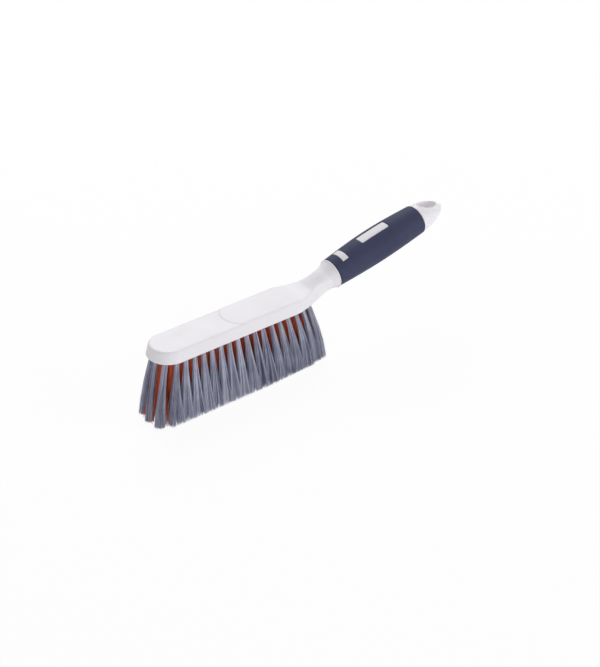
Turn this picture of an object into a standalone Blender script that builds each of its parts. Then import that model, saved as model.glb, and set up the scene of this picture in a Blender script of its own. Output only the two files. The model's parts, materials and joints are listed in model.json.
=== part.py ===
"""A soft hand brush for cleaning, modelled in metres with +Z up.

The brush stands on its bristle tips. +X runs along the brush towards the handle, and the brush is the same
on both sides of the plane Y = 0. While it is built, X = 0 is the centre of the head's round front and Z = 0
is the head's lower edge; the parent empty then moves everything so that the origin is the middle of the
object's box, at the bristle tips.
"""
import math

import bmesh
import bpy
from mathutils import Vector

# Head
HEAD_WIDTH = 0.0380
HEAD_HEIGHT = 0.0115
TAPER_BEFORE_LAST_TUFT = 0.0116
HEAD_DRAWN_IN = 0.0400
SIDE_LEAN = 0.0024
CREASE_ROUND = 0.0020
LOWER_EDGE_ROUND = 0.0008
SHELL_WALL = 0.0022

# Raised tongue on the head's top, which runs on into the neck
TONGUE_FRONT = 0.0592
TONGUE_NOSE = 0.0088
TONGUE_RISE = 0.0005
TONGUE_DRAWN_IN = 0.0350
TONGUE_TAPER_DELAY = 0.0040
TONGUE_NECK_HALF_WIDTH = 0.0060

# Neck
NECK_LENGTH = 0.0246
NECK_HALF_WIDTH = 0.0104
RIM_PROUD = 0.0003

# Grip
GRIP_LENGTH = 0.1012
GRIP_TILT = math.radians(12.0)
GRIP_FRONT_RADIUS = 0.0134
GRIP_REAR_RADIUS = 0.0137
GRIP_SWELL = 0.0020
GRIP_BOW = 0.0005
SLEEVE_WALL = 0.0022
SLEEVE_EDGE = 0.0005

# Windows in the sleeve, measured from the grip's front
BAND_START = 0.0093
BAND_LENGTH = 0.0070
BAND_HALF_WIDTH = 0.0080
BAND_CORNER = 0.0004
PAD_START = 0.0349
PAD_LENGTH = 0.0326
PAD_HALF_WIDTH = 0.0050
PAD_CORNER = 0.0018
PAD_FLUSH = 0.0002

# End of the handle and its hanging hole
END_LENGTH = 0.0310
END_STEP = 0.0006
END_DROOP = 0.0014
HOLE_FROM_GRIP = 0.0144
HOLE_LENGTH = 0.0195
HOLE_WIDTH = 0.0130

# Tuft block
BLOCK_THICKNESS = 0.0068
BLOCK_PROUD = 0.0008
BLOCK_RIM = 0.00125
BORE_SHARE = 0.0724
BORE_FLOOR = 0.0013

# Tufts
TUFT_PITCH = 0.00904
SIDE_TUFTS = 16
BRISTLE_LENGTH = 0.0592
FAN_NEUTRAL = 0.0220
FRONT_FAN = 0.0084
REAR_FAN = 0.0150
SIDE_FAN = 0.0056
TIP_GAP = 0.0006
TIP_HALF_DEPTH = 0.0042
STRAND_GAP = 0.00024
STRANDS = 6

# Fit between pieces that touch, and the overrun of every cut
CLEARANCE = 0.0003
OVERRUN = 0.0050

# Counts of the facets
HALF_PROFILE = 14
ARC_STEPS = 12
TAPER_STEPS = 6
NECK_STEPS = 2
GRIP_STEPS = 8
END_STEPS = 8
HOLE_SIDES = 24
BORE_SIDES = 8

# Places worked out from the sizes above
HEAD_HALF = HEAD_WIDTH / 2
BORE_RADIUS = HEAD_WIDTH * BORE_SHARE
EDGE_TO_BORE = SHELL_WALL + CLEARANCE + BLOCK_RIM + BORE_RADIUS
RING_HALF_WIDTH = HEAD_HALF - EDGE_TO_BORE
TUFT_ROW = (SIDE_TUFTS - 1) * TUFT_PITCH
REAR_TUFT = TUFT_ROW + RING_HALF_WIDTH
HEAD_STRAIGHT = TUFT_ROW - TAPER_BEFORE_LAST_TUFT
BLOCK_END = REAR_TUFT + BORE_RADIUS + BLOCK_RIM
NECK_START = BLOCK_END + CLEARANCE + SHELL_WALL
GRIP_START = NECK_START + NECK_LENGTH
BORE_DEPTH = BLOCK_THICKNESS - BORE_FLOOR
TUFT_RADIUS = BORE_RADIUS * math.cos(math.pi / BORE_SIDES) - CLEARANCE
AXIS = Vector((math.cos(GRIP_TILT), 0, math.sin(GRIP_TILT)))
ACROSS = Vector((0, 1, 0))
GRIP_UP = Vector((-math.sin(GRIP_TILT), 0, math.cos(GRIP_TILT)))
GRIP_FRONT = Vector((GRIP_START, 0, GRIP_FRONT_RADIUS))

# Each row is one section: its place (0 to 1 along the head's shoulder, 1 to 2 along the neck), the height of
# its top from the head's (0) to the grip ring's (1), how round its upper and its lower half are, and how far
# it has turned square to the grip
NECK_SHARES = (
    (0.00, 0.000, 0.00, 0.00, 0.0),
    (0.20, -0.050, 0.00, 0.00, 0.0),
    (0.41, -0.085, 0.04, 0.00, 0.0),
    (0.60, -0.035, 0.12, 0.00, 0.0),
    (0.79, 0.065, 0.30, 0.02, 0.1),
    (1.00, 0.245, 0.52, 0.15, 0.3),
    (1.39, 0.510, 0.85, 0.75, 0.8),
    (1.68, 0.680, 1.00, 1.00, 1.0),
    (2.00, 1.000, 1.00, 1.00, 1.0),
)

# Falling curves of the end's width and height, the lean of the bristles and the flare of a tuft
END_WIDTH_SHARE = 0.62
END_HEIGHT_SHARE = 0.70
FRONT_FAN_SHARE = 1.4
REAR_FAN_SHARE = 1.3
LEAN_SHARE = 1.6
FLARE_SHARE = 0.8
ROOT_PINCH_SHARE = 0.35
ARC_DEPTH_SHARE = 1.25
STRAND_BEND_SHARE = 0.45
TONGUE_CURVE_SHARE = 2.5
SIDE_WALL_SHARES = (1 / 3, 2 / 3)
SOLE_SHARES = (1 / 3, 2 / 3)
TOP_SHARES = (3 / 4, 1 / 2, 1 / 4)


# Small tools

def mix(a, b, share):
    """The value that lies a share of the way from a to b."""
    return a + (b - a) * share


def ease(share):
    """A smooth step from 0 to 1."""
    share = min(max(share, 0), 1)
    return share * share * (3 - 2 * share)


def smooth_row(rows, place):
    """A smooth curve through the rows, read at a place such as 2.5, halfway from row 2 to row 3."""
    index = min(int(place), len(rows) - 2)
    t = place - index
    before = rows[max(index - 1, 0)]
    start, end = rows[index], rows[index + 1]
    after = rows[min(index + 2, len(rows) - 1)]
    values = []
    for a, b, c, d in zip(before, start, end, after):
        bend = (2 * a - 5 * b + 4 * c - d) * t * t
        twist = (3 * b - a - 3 * c + d) * t * t * t
        values.append((2 * b + (c - a) * t + bend + twist) / 2)
    return values


def make_object(name, mesh_data, parent, surface=None):
    """Turn a bmesh into a named object under the parent, with its faces pointing out."""
    bmesh.ops.recalc_face_normals(mesh_data, faces=mesh_data.faces)
    mesh = bpy.data.meshes.new(name)
    mesh_data.to_mesh(mesh)
    mesh_data.free()
    obj = bpy.data.objects.new(name, mesh)
    bpy.context.collection.objects.link(obj)
    obj.parent = parent
    if surface:
        mesh.materials.append(surface)
        mesh.shade_smooth()
        mesh.set_sharp_from_angle(angle=math.radians(35))
    return obj


def make_cutter(name, mesh_data, parent):
    """An object that only cuts or trims others."""
    cutter = make_object(name, mesh_data, parent)
    cutter.hide_render = True
    cutter.display_type = "WIRE"
    return cutter


def combine(obj, other, operation):
    """Join, cut or trim an object with another by a Boolean modifier."""
    modifier = obj.modifiers.new(other.name, "BOOLEAN")
    modifier.operation = operation
    modifier.solver = "EXACT"
    modifier.object = other


def material(name, colour, roughness):
    """A plain Principled material."""
    made = bpy.data.materials.new(name)
    made.use_nodes = True
    shader = made.node_tree.nodes["Principled BSDF"]
    shader.inputs["Base Color"].default_value = (*colour, 1)
    shader.inputs["Roughness"].default_value = roughness
    shader.inputs["Metallic"].default_value = 0
    made.diffuse_color = (*colour, 1)
    return made


# Outlines of the head

def sole_half_width(x):
    """Half the width of the head's lower edge, which draws in to the neck."""
    share = ease((x - HEAD_STRAIGHT) / HEAD_DRAWN_IN)
    return mix(HEAD_HALF, NECK_HALF_WIDTH, share)


def crease_half_width(x):
    """Half the width of the head's flat top, which narrows to a ridge on the neck."""
    share = ease((x - HEAD_STRAIGHT - TONGUE_TAPER_DELAY) / TONGUE_DRAWN_IN)
    return mix(HEAD_HALF - SIDE_LEAN, TONGUE_NECK_HALF_WIDTH, share)


def between(start, end, steps):
    """Values half a step inside a range, so that no cut's corner falls on an edge of the skin it cuts."""
    return [mix(start, end, (step + 1 / 2) / steps) for step in range(steps)]


def head_outline(inset, rear):
    """Points round the head as seen from below, a wall inside its lower edge, ending at the rear."""
    radius = HEAD_HALF - inset
    turns = between(math.pi / 2, 3 * math.pi / 2, ARC_STEPS)
    front = [(radius * math.cos(turn), radius * math.sin(turn)) for turn in turns]
    near = [(TUFT_PITCH / 2, -radius)]
    near += [(x, inset - sole_half_width(x)) for x in between(HEAD_STRAIGHT, REAR_TUFT, TAPER_STEPS)]
    depth, half_width = rear - REAR_TUFT, sole_half_width(REAR_TUFT) - inset
    turns = between(-math.pi / 2, math.pi / 2, ARC_STEPS)
    end = [(REAR_TUFT + depth * math.cos(turn), half_width * math.sin(turn)) for turn in turns]
    far = [(x, -y) for x, y in reversed(near)]
    return front + near + end + far


def prism(outline, low, high, origin=Vector((0, 0, 0)), along=Vector((1, 0, 0)), up=Vector((0, 0, 1))):
    """A closed prism over an outline, from one height to another above its origin."""
    made = bmesh.new()
    base = [made.verts.new(origin + along * x + ACROSS * y + up * low) for x, y in outline]
    bottom = made.faces.new(base)
    grown = bmesh.ops.extrude_face_region(made, geom=[bottom])
    top = [item for item in grown["geom"] if isinstance(item, bmesh.types.BMVert)]
    bmesh.ops.translate(made, verts=top, vec=up * (high - low))
    return made


# Sections of the moulding and the sleeve

def boxy_profile(low, high, sole, crease):
    """Half a section of the head: flat sole, leaning side, rounded crease and flat top."""
    corner = Vector((crease, high))
    foot = Vector((sole, low + LOWER_EDGE_ROUND))
    wall = (corner - foot).normalized()
    shoulder = corner - wall * CREASE_ROUND
    brow = corner - Vector((CREASE_ROUND, 0))
    points = [(0, low)]
    points += [((sole - LOWER_EDGE_ROUND) * share, low) for share in SOLE_SHARES]
    points += [(sole - LOWER_EDGE_ROUND, low), tuple(foot)]
    points += [tuple(foot.lerp(shoulder, share)) for share in SIDE_WALL_SHARES]
    points += [tuple(shoulder)]
    for share in SIDE_WALL_SHARES:
        points.append(tuple(shoulder.lerp(corner, share).lerp(corner.lerp(brow, share), share)))
    points += [tuple(brow)]
    points += [(brow.x * share, high) for share in TOP_SHARES]
    points += [(0, high)]
    return points


def round_profile(low, high, half_width):
    """Half of an oval section, with as many points as the head's section."""
    middle, half_height = (low + high) / 2, (high - low) / 2
    points = []
    for step in range(HALF_PROFILE + 1):
        angle = math.pi * (step / HALF_PROFILE - 1 / 2)
        points.append((half_width * math.cos(angle), middle + half_height * math.sin(angle)))
    points[0], points[-1] = (0, low), (0, high)
    return points


def section(place, up, profile):
    """A section's place, its upward direction and its half profile."""
    return {"place": place, "up": up, "profile": profile}


def neck_section(row):
    """A section between the head and the grip, from a row of shares."""
    place, top, upper_round, lower_round, turned = row
    shoulder, neck = min(place, 1), max(place - 1, 0)
    x = HEAD_STRAIGHT + (NECK_START - HEAD_STRAIGHT) * shoulder + NECK_LENGTH * neck
    high = mix(HEAD_HEIGHT, 2 * GRIP_FRONT_RADIUS, top)
    flare_start = NECK_SHARES[-2][0]
    flare = ease((place - flare_start) / (NECK_SHARES[-1][0] - flare_start))
    half = mix(sole_half_width(x), GRIP_FRONT_RADIUS, flare)
    boxy = boxy_profile(0, high, half, crease_half_width(x))
    oval = round_profile(0, high, half)
    # The section turns about its own middle, so its points are measured from there
    profile = []
    for index, (a, b) in enumerate(zip(boxy, oval)):
        roundness = mix(lower_round, upper_round, ease(index / HALF_PROFILE))
        profile.append((mix(a[0], b[0], roundness), mix(a[1], b[1], roundness) - high / 2))
    tilt = GRIP_TILT * turned
    up = Vector((-math.sin(tilt), 0, math.cos(tilt)))
    return section(Vector((x, 0, high / 2)), up, profile)


def grip_place(share):
    """A point on the grip's centre line."""
    bow = GRIP_BOW * math.sin(math.pi * share)
    return GRIP_FRONT + AXIS * (GRIP_LENGTH * share) + GRIP_UP * bow


def grip_radius(share):
    """The outer radius of the grip, which swells in the middle."""
    return mix(GRIP_FRONT_RADIUS, GRIP_REAR_RADIUS, share) + GRIP_SWELL * math.sin(math.pi * share)


def ring_section(share, radius):
    """A round section of the grip."""
    return section(grip_place(share), GRIP_UP, round_profile(-radius, radius, radius))


def grip_sections(inset, start, end):
    """Round sections along the grip, set in from its surface."""
    shares = [mix(start, end, step / GRIP_STEPS) for step in range(GRIP_STEPS + 1)]
    return [ring_section(share, grip_radius(share) - inset) for share in shares]


def end_section(share):
    """A section of the handle's end, which tapers to a rounded tip."""
    fall = 1 - share * share
    half_width = (GRIP_REAR_RADIUS - END_STEP) * fall ** END_WIDTH_SHARE
    half_height = (GRIP_REAR_RADIUS - END_STEP) * fall ** END_HEIGHT_SHARE
    droop = GRIP_UP * (END_DROOP * share * share)
    place = grip_place(1) + AXIS * (END_LENGTH * share) - droop
    return section(place, GRIP_UP, round_profile(-half_height, half_height, half_width))


def side_points(made, cut, side):
    """The points of a section on one side, without the two on the middle plane."""
    place, up = cut["place"], cut["up"]
    inner = cut["profile"][1:-1]
    return [made.verts.new(place + ACROSS * (w * side) + up * h) for w, h in inner]


def ring_points(made, cut):
    """All the points of a section, in order round it."""
    place, up, profile = cut["place"], cut["up"], cut["profile"]
    sole = made.verts.new(place + up * profile[0][1])
    top = made.verts.new(place + up * profile[-1][1])
    near = side_points(made, cut, -1)
    far = side_points(made, cut, 1)
    return [sole] + near + [top] + far[::-1]


def bridge(made, first, second):
    """Faces between two closed rings of the same length."""
    count = len(first)
    for index in range(count):
        after = (index + 1) % count
        made.faces.new((first[index], first[after], second[after], second[index]))


def loft(sections, close_ends):
    """A skin through the sections. It returns the mesh and its rings."""
    made = bmesh.new()
    rings = [ring_points(made, cut) for cut in sections]
    for first, second in zip(rings, rings[1:]):
        bridge(made, first, second)
    if close_ends:
        made.faces.new(rings[0])
        made.faces.new(rings[-1])
    return made, rings


def round_front(made, ring, profile):
    """Close the head's front by turning its half section about the ring's middle line."""
    half = len(profile) - 1
    sole, top = ring[0], ring[half]
    near = ring[1:half]
    far = ring[:half:-1]
    lines = [near]
    for step in range(1, ARC_STEPS):
        angle = math.pi * step / ARC_STEPS
        out = Vector((-math.sin(angle), -math.cos(angle), 0))
        lines.append([made.verts.new(out * w + Vector((0, 0, h))) for w, h in profile[1:-1]])
    lines.append(far)
    for first, second in zip(lines, lines[1:]):
        made.faces.new((sole, first[0], second[0]))
        made.faces.new((top, first[-1], second[-1]))
        for low in range(len(first) - 1):
            made.faces.new((first[low], first[low + 1], second[low + 1], second[low]))


# The handle moulding

def moulding_mesh():
    """Head shell, neck, core of the grip and end, as one skin."""
    half = HEAD_HEIGHT / 2
    front = boxy_profile(0, HEAD_HEIGHT, HEAD_HALF, HEAD_HALF - SIDE_LEAN)
    sections = [section(Vector((0, 0, half)), Vector((0, 0, 1)), [(w, h - half) for w, h in front])]
    for step in range((len(NECK_SHARES) - 1) * NECK_STEPS):
        sections.append(neck_section(smooth_row(NECK_SHARES, step / NECK_STEPS)))
    sections.append(ring_section(0, GRIP_FRONT_RADIUS + RIM_PROUD))
    sections += grip_sections(SLEEVE_WALL, 0, 1)
    ends = [math.sin(math.pi / 2 * step / END_STEPS) for step in range(END_STEPS)]
    sections += [end_section(share) for share in ends]
    made, rings = loft(sections, False)
    made.faces.new(rings[-1])
    round_front(made, rings[0], front)
    return made


def tongue_step_mesh():
    """The cut that lowers the head's top in front of the raised tongue."""
    half = HEAD_HALF - SIDE_LEAN
    curve = []
    for turn in between(0, math.pi, ARC_STEPS):
        y = half * math.cos(turn)
        bulge = (1 - abs(y / half) ** TONGUE_CURVE_SHARE) ** (1 / TONGUE_CURVE_SHARE)
        curve.append((TONGUE_FRONT + TONGUE_NOSE * (1 - bulge), y))
    wide = HEAD_HALF + OVERRUN
    before = -HEAD_HALF - OVERRUN
    start = TONGUE_FRONT + TONGUE_NOSE
    ends = [(start, -half), (start, -wide), (before, -wide), (before, wide), (start, wide), (start, half)]
    outline = curve + ends
    return prism(outline, HEAD_HEIGHT - TONGUE_RISE, HEAD_HEIGHT + OVERRUN)


def rounded_window(start, length, half_width, corner, shrink):
    """A rounded rectangle on the grip, shrunk all round by a clearance."""
    low, high = start + shrink, start + length - shrink
    side, radius = half_width - shrink, corner
    middles = ((high - radius, side - radius), (low + radius, side - radius),
               (low + radius, radius - side), (high - radius, radius - side))
    points = []
    for quarter, (x, y) in enumerate(middles):
        for step in range(4):
            angle = math.pi / 2 * (quarter + step / 3)
            points.append((x + radius * math.cos(angle), y + radius * math.sin(angle)))
    return points


def window_mesh(window, shrink, low):
    """A prism over a window, square to the grip."""
    high = GRIP_FRONT_RADIUS + GRIP_SWELL + GRIP_BOW + OVERRUN
    outline = rounded_window(*window, shrink)
    return prism(outline, low, high, GRIP_FRONT, AXIS, GRIP_UP)


def hole_mesh():
    """The oval hanging hole, square to the handle's end."""
    outline = []
    for turn in between(0, 2 * math.pi, HOLE_SIDES):
        along = HOLE_FROM_GRIP + HOLE_LENGTH / 2 * math.cos(turn)
        outline.append((along, HOLE_WIDTH / 2 * math.sin(turn)))
    reach = GRIP_REAR_RADIUS + OVERRUN
    return prism(outline, -reach, reach, grip_place(1), AXIS, GRIP_UP)


BAND = (BAND_START, BAND_LENGTH, BAND_HALF_WIDTH, BAND_CORNER)
PAD = (PAD_START, PAD_LENGTH, PAD_HALF_WIDTH, PAD_CORNER)
CORE_DEPTH = GRIP_FRONT_RADIUS / 2


def add_pads(moulding, root):
    """Raise the two pads of the core to the grip's surface."""
    skin, _ = loft(grip_sections(PAD_FLUSH, 0, 1), True)
    surface = make_cutter("grip_surface", skin, root)
    for name, window in (("band", BAND), ("pad", PAD)):
        raised = make_cutter(name, window_mesh(window, CLEARANCE, CORE_DEPTH), root)
        combine(raised, surface, "INTERSECT")
        combine(moulding, raised, "UNION")


def handle_moulding(root, plastic):
    """The white moulding with its pocket, tongue, pads and hanging hole."""
    moulding = make_object("handle_moulding", moulding_mesh(), root, plastic)
    add_pads(moulding, root)
    combine(moulding, make_cutter("tongue_step", tongue_step_mesh(), root), "DIFFERENCE")
    depth = BLOCK_THICKNESS - BLOCK_PROUD + CLEARANCE
    outline = head_outline(SHELL_WALL, BLOCK_END + CLEARANCE)
    pocket = prism(outline, -OVERRUN, depth)
    combine(moulding, make_cutter("pocket", pocket, root), "DIFFERENCE")
    combine(moulding, make_cutter("hanging_hole", hole_mesh(), root), "DIFFERENCE")
    return moulding


# The grip sleeve

def grip_sleeve(root, rubber):
    """The soft sleeve round the core, with its two windows."""
    margin = CLEARANCE / GRIP_LENGTH
    edge = SLEEVE_EDGE / GRIP_LENGTH
    start, end = margin, 1 - margin
    outer = [ring_section(start, grip_radius(start) - SLEEVE_EDGE)]
    outer += grip_sections(0, start + edge, end - edge)
    outer += [ring_section(end, grip_radius(end) - SLEEVE_EDGE)]
    inner = grip_sections(SLEEVE_WALL - CLEARANCE, start, end)
    made, rings = loft(outer + inner[::-1], False)
    bridge(made, rings[-1], rings[0])
    sleeve = make_object("grip_sleeve", made, root, rubber)
    for name, window in (("band_window", BAND), ("pad_window", PAD)):
        combine(sleeve, make_cutter(name, window_mesh(window, 0, 0), root), "DIFFERENCE")
    return sleeve


# The tuft block

def tip_room(x, row):
    """Half the length that a tuft's tip may take along the brush before it meets the nearest tip in a row."""
    others = [other for other in row if abs(other - x) > TIP_GAP]
    nearest = min(abs(x + fan_along(x) - other - fan_along(other)) for other in others)
    return (nearest - TIP_GAP) / 2


def tuft_places():
    """The name and the root of every tuft, with half the length and half the depth of its tip."""
    side_row = [index * TUFT_PITCH for index in range(SIDE_TUFTS)]
    orange_row = [(index - 1 / 2) * TUFT_PITCH for index in range(SIDE_TUFTS + 1)]
    middle_row = [-RING_HALF_WIDTH] + orange_row + [REAR_TUFT]
    places = []
    for index, x in enumerate(side_row):
        y = sole_half_width(x) - EDGE_TO_BORE
        tip = (tip_room(x, side_row), TIP_HALF_DEPTH)
        places.append((f"grey_tuft_near_{index + 1:02d}", x, -y, tip))
        places.append((f"grey_tuft_far_{index + 1:02d}", x, y, tip))
    rear_width = sole_half_width(TUFT_ROW) - EDGE_TO_BORE
    for index in range(3):
        angle = math.pi / 4 * (index - 1)
        row = side_row if angle else middle_row
        depth = TIP_HALF_DEPTH * (ARC_DEPTH_SHARE if angle else 1)
        x, y = RING_HALF_WIDTH * math.cos(angle), math.sin(angle)
        tip = (tip_room(-x, row), depth)
        places.append((f"grey_tuft_front_{index + 1}", -x, y * RING_HALF_WIDTH, tip))
        tip = (tip_room(TUFT_ROW + x, row), depth)
        places.append((f"grey_tuft_rear_{index + 1}", TUFT_ROW + x, y * rear_width, tip))
    for index, x in enumerate(orange_row):
        places.append((f"orange_tuft_{index + 1:02d}", x, 0, (tip_room(x, middle_row), TIP_HALF_DEPTH)))
    return places


def circle(x, y, radius, sides):
    """An outline of a round bore."""
    turns = between(0, 2 * math.pi, sides)
    return [(x + radius * math.cos(turn), y + radius * math.sin(turn)) for turn in turns]


def tuft_block(root, plastic):
    """The plate in the head's underside, with a blind bore for every tuft."""
    outline = head_outline(SHELL_WALL + CLEARANCE, BLOCK_END)
    body = prism(outline, -BLOCK_PROUD, BLOCK_THICKNESS - BLOCK_PROUD)
    block = make_object("tuft_block", body, root, plastic)
    bores = bmesh.new()
    for _, x, y, _ in tuft_places():
        bore = prism(circle(x, y, BORE_RADIUS, BORE_SIDES), -BLOCK_PROUD - OVERRUN, BORE_DEPTH - BLOCK_PROUD)
        spare = bpy.data.meshes.new("bore")
        bore.to_mesh(spare)
        bore.free()
        bores.from_mesh(spare)
        bpy.data.meshes.remove(spare)
    combine(block, make_cutter("bores", bores, root), "DIFFERENCE")
    return block


# The tufts

def fan_along(x):
    """How far a tuft's tip stands along the brush from its root: forwards in front, backwards behind."""
    if x < FAN_NEUTRAL:
        share = (FAN_NEUTRAL - x) / (FAN_NEUTRAL + RING_HALF_WIDTH)
        return -FRONT_FAN * share ** FRONT_FAN_SHARE
    share = (x - FAN_NEUTRAL) / (REAR_TUFT - FAN_NEUTRAL)
    return REAR_FAN * share ** REAR_FAN_SHARE


def fan_across(y):
    """How far a tuft's tip stands outwards from its root."""
    return SIDE_FAN * y / RING_HALF_WIDTH


def tuft_level(x, y, tip, share):
    """The middle and the scale of a tuft's section, a share of the way down its bristles."""
    lean = 1 - (1 - share) ** LEAN_SHARE
    flare = share ** FLARE_SHARE
    height = mix(-BLOCK_PROUD - STRAND_GAP, -BRISTLE_LENGTH, share)
    middle = Vector((x + fan_along(x) * lean, y + fan_across(y) * lean, height))
    along, across = tip
    depth = TUFT_RADIUS * math.cos(math.pi / STRANDS)
    return middle, Vector((mix(1, along / TUFT_RADIUS, flare), mix(1, across / depth, flare)))


def carry(vert, before, after):
    """Carry a point of a tuft from one section to the next."""
    (old_middle, old_scale), (middle, scale) = before, after
    along = (vert.co.x - old_middle.x) * scale.x / old_scale.x
    across = (vert.co.y - old_middle.y) * scale.y / old_scale.y
    vert.co = (middle.x + along, middle.y + across, middle.z)


def tuft(name, x, y, tip, root, bristle):
    """One tuft: a root folded into its bore and six locks that flare to flat tips."""
    top = BORE_DEPTH - BLOCK_PROUD - CLEARANCE
    turns = [2 * math.pi * corner / STRANDS for corner in range(STRANDS)]
    ring = [(TUFT_RADIUS * math.cos(turn), TUFT_RADIUS * math.sin(turn)) for turn in turns]
    made = bmesh.new()
    fold = made.faces.new([made.verts.new((x + dx, y + dy, top)) for dx, dy in ring])
    grown = bmesh.ops.extrude_face_region(made, geom=[fold])["geom"]
    split = [item for item in grown if isinstance(item, bmesh.types.BMFace)]
    for vert in split[0].verts:
        vert.co.z = -BLOCK_PROUD - STRAND_GAP
    for vert in fold.verts:
        vert.co.x = mix(x, vert.co.x, ROOT_PINCH_SHARE)
    sectors = bmesh.ops.poke(made, faces=split)["faces"]
    bmesh.ops.inset_individual(made, faces=sectors, thickness=STRAND_GAP / 2)
    before = tuft_level(x, y, tip, 0)
    for share in (STRAND_BEND_SHARE, 1):
        sectors = bmesh.ops.extrude_discrete_faces(made, faces=sectors)["faces"]
        after = tuft_level(x, y, tip, share)
        for vert in {vert for sector in sectors for vert in sector.verts}:
            carry(vert, before, after)
        before = after
    return make_object(name, made, root, bristle)


# The whole brush

def stand_on_origin(root, objects):
    """Move the brush so that the middle of its box stands on the origin."""
    bpy.context.view_layer.update()
    depsgraph = bpy.context.evaluated_depsgraph_get()
    corners = []
    for obj in objects:
        shown = obj.evaluated_get(depsgraph)
        corners += [shown.matrix_world @ Vector(corner) for corner in shown.bound_box]
    low_x, high_x = min(c.x for c in corners), max(c.x for c in corners)
    root.location = (-(low_x + high_x) / 2, 0, -min(c.z for c in corners))


def main():
    for obj in list(bpy.data.objects):
        bpy.data.objects.remove(obj)
    root = bpy.data.objects.new("brush", None)
    bpy.context.collection.objects.link(root)
    white = material("moulding_white", (0.78, 0.76, 0.79), 0.38)
    block_white = material("block_white", (0.70, 0.68, 0.70), 0.50)
    navy = material("sleeve_navy", (0.052, 0.058, 0.098), 0.55)
    grey = material("bristle_grey", (0.165, 0.19, 0.25), 0.45)
    orange = material("bristle_orange", (0.26, 0.035, 0.012), 0.45)
    objects = [handle_moulding(root, white), grip_sleeve(root, navy), tuft_block(root, block_white)]
    for name, x, y, tip in tuft_places():
        bristle = orange if name.startswith("orange") else grey
        objects.append(tuft(name, x, y, tip, root, bristle))
    stand_on_origin(root, objects)
    print(f"{len(objects)} pieces, {len(tuft_places()) * STRANDS} strands")


main()
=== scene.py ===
# %% [markdown]
# # A soft hand brush for cleaning
# The brush is one white plastic moulding (head, neck, core of the handle), a navy sleeve of soft
# rubber over that core, a white block pressed into the head from below, and 55 tufts of fine
# filament set in the block. The engineering model is loaded first and stays the measure: the
# skins made here are finer copies of its solids. All lengths are in metres.

# %% Load the frame
import json
import math
import random
from functools import partial

import bmesh
import bpy
from mathutils import Matrix, Vector

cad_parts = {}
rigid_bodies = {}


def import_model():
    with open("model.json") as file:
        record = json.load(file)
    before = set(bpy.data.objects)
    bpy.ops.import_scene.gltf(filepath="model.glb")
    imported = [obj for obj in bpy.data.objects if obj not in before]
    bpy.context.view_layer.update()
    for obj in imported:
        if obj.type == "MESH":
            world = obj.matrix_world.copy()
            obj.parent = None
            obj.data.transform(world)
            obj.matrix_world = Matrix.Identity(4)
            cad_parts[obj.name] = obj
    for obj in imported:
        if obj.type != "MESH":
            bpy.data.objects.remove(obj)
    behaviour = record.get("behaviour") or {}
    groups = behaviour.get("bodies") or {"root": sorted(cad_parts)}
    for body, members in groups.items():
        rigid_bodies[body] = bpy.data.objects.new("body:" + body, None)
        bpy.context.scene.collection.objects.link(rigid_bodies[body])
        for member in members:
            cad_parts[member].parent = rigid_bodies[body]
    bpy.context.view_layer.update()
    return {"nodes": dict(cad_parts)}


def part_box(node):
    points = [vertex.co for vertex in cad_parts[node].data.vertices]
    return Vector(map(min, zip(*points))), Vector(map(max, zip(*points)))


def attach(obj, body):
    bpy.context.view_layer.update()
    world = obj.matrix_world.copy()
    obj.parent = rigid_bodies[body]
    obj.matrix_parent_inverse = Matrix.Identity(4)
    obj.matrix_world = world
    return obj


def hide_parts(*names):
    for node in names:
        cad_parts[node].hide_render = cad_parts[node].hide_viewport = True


for left_over in list(bpy.data.objects):
    bpy.data.objects.remove(left_over)
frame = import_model()
print("engineering nodes:", len(frame["nodes"]))

# %% [markdown]
# ## Sizes of the real brush
# The sizes are those of the engineering model. Two are a little smaller here: the handle's end,
# because the finer skin reaches its very tip, and the depth of the side tufts at their tips.
# Lengths run from the centre of the head's round front, and heights from the head's lower edge,
# so one fixed shift carries them into the loaded frame.

# %% Sizes
HEAD_WIDTH, HEAD_HEIGHT = 0.0380, 0.0115
SIDE_LEAN, CREASE_ROUND, LOWER_EDGE_ROUND = 0.0024, 0.0020, 0.0008
TAPER_BEFORE_LAST_TUFT, HEAD_DRAWN_IN = 0.0116, 0.0400
SHELL_WALL, CLEARANCE, OVERRUN = 0.0022, 0.0003, 0.0050
TONGUE_FRONT, TONGUE_NOSE, TONGUE_RISE = 0.0592, 0.0088, 0.0005
TONGUE_DRAWN_IN, TONGUE_TAPER_DELAY, TONGUE_NECK_HALF_WIDTH = 0.0350, 0.0040, 0.0060
NECK_LENGTH, NECK_HALF_WIDTH, RIM_PROUD = 0.0246, 0.0104, 0.0003
GRIP_LENGTH, GRIP_TILT, GRIP_SWELL, GRIP_BOW = 0.1012, math.radians(12.0), 0.0020, 0.0005
GRIP_FRONT_RADIUS, GRIP_REAR_RADIUS = 0.0134, 0.0137
SLEEVE_WALL, SLEEVE_EDGE = 0.0022, 0.0005
END_LENGTH, END_STEP, END_DROOP = 0.0306, 0.0006, 0.0014
HOLE_FROM_GRIP, HOLE_LENGTH, HOLE_WIDTH = 0.0144, 0.0195, 0.0130
BLOCK_THICKNESS, BLOCK_PROUD, BLOCK_RIM = 0.0068, 0.0008, 0.00125
BORE_RADIUS, BORE_FLOOR = 0.00275, 0.0013
TUFT_PITCH, SIDE_TUFTS, BRISTLE_LENGTH = 0.00904, 16, 0.0592
FAN_NEUTRAL, FRONT_FAN, REAR_FAN, SIDE_FAN = 0.0220, 0.0084, 0.0150, 0.0056
TIP_HALF_DEPTH = 0.0040

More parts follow.
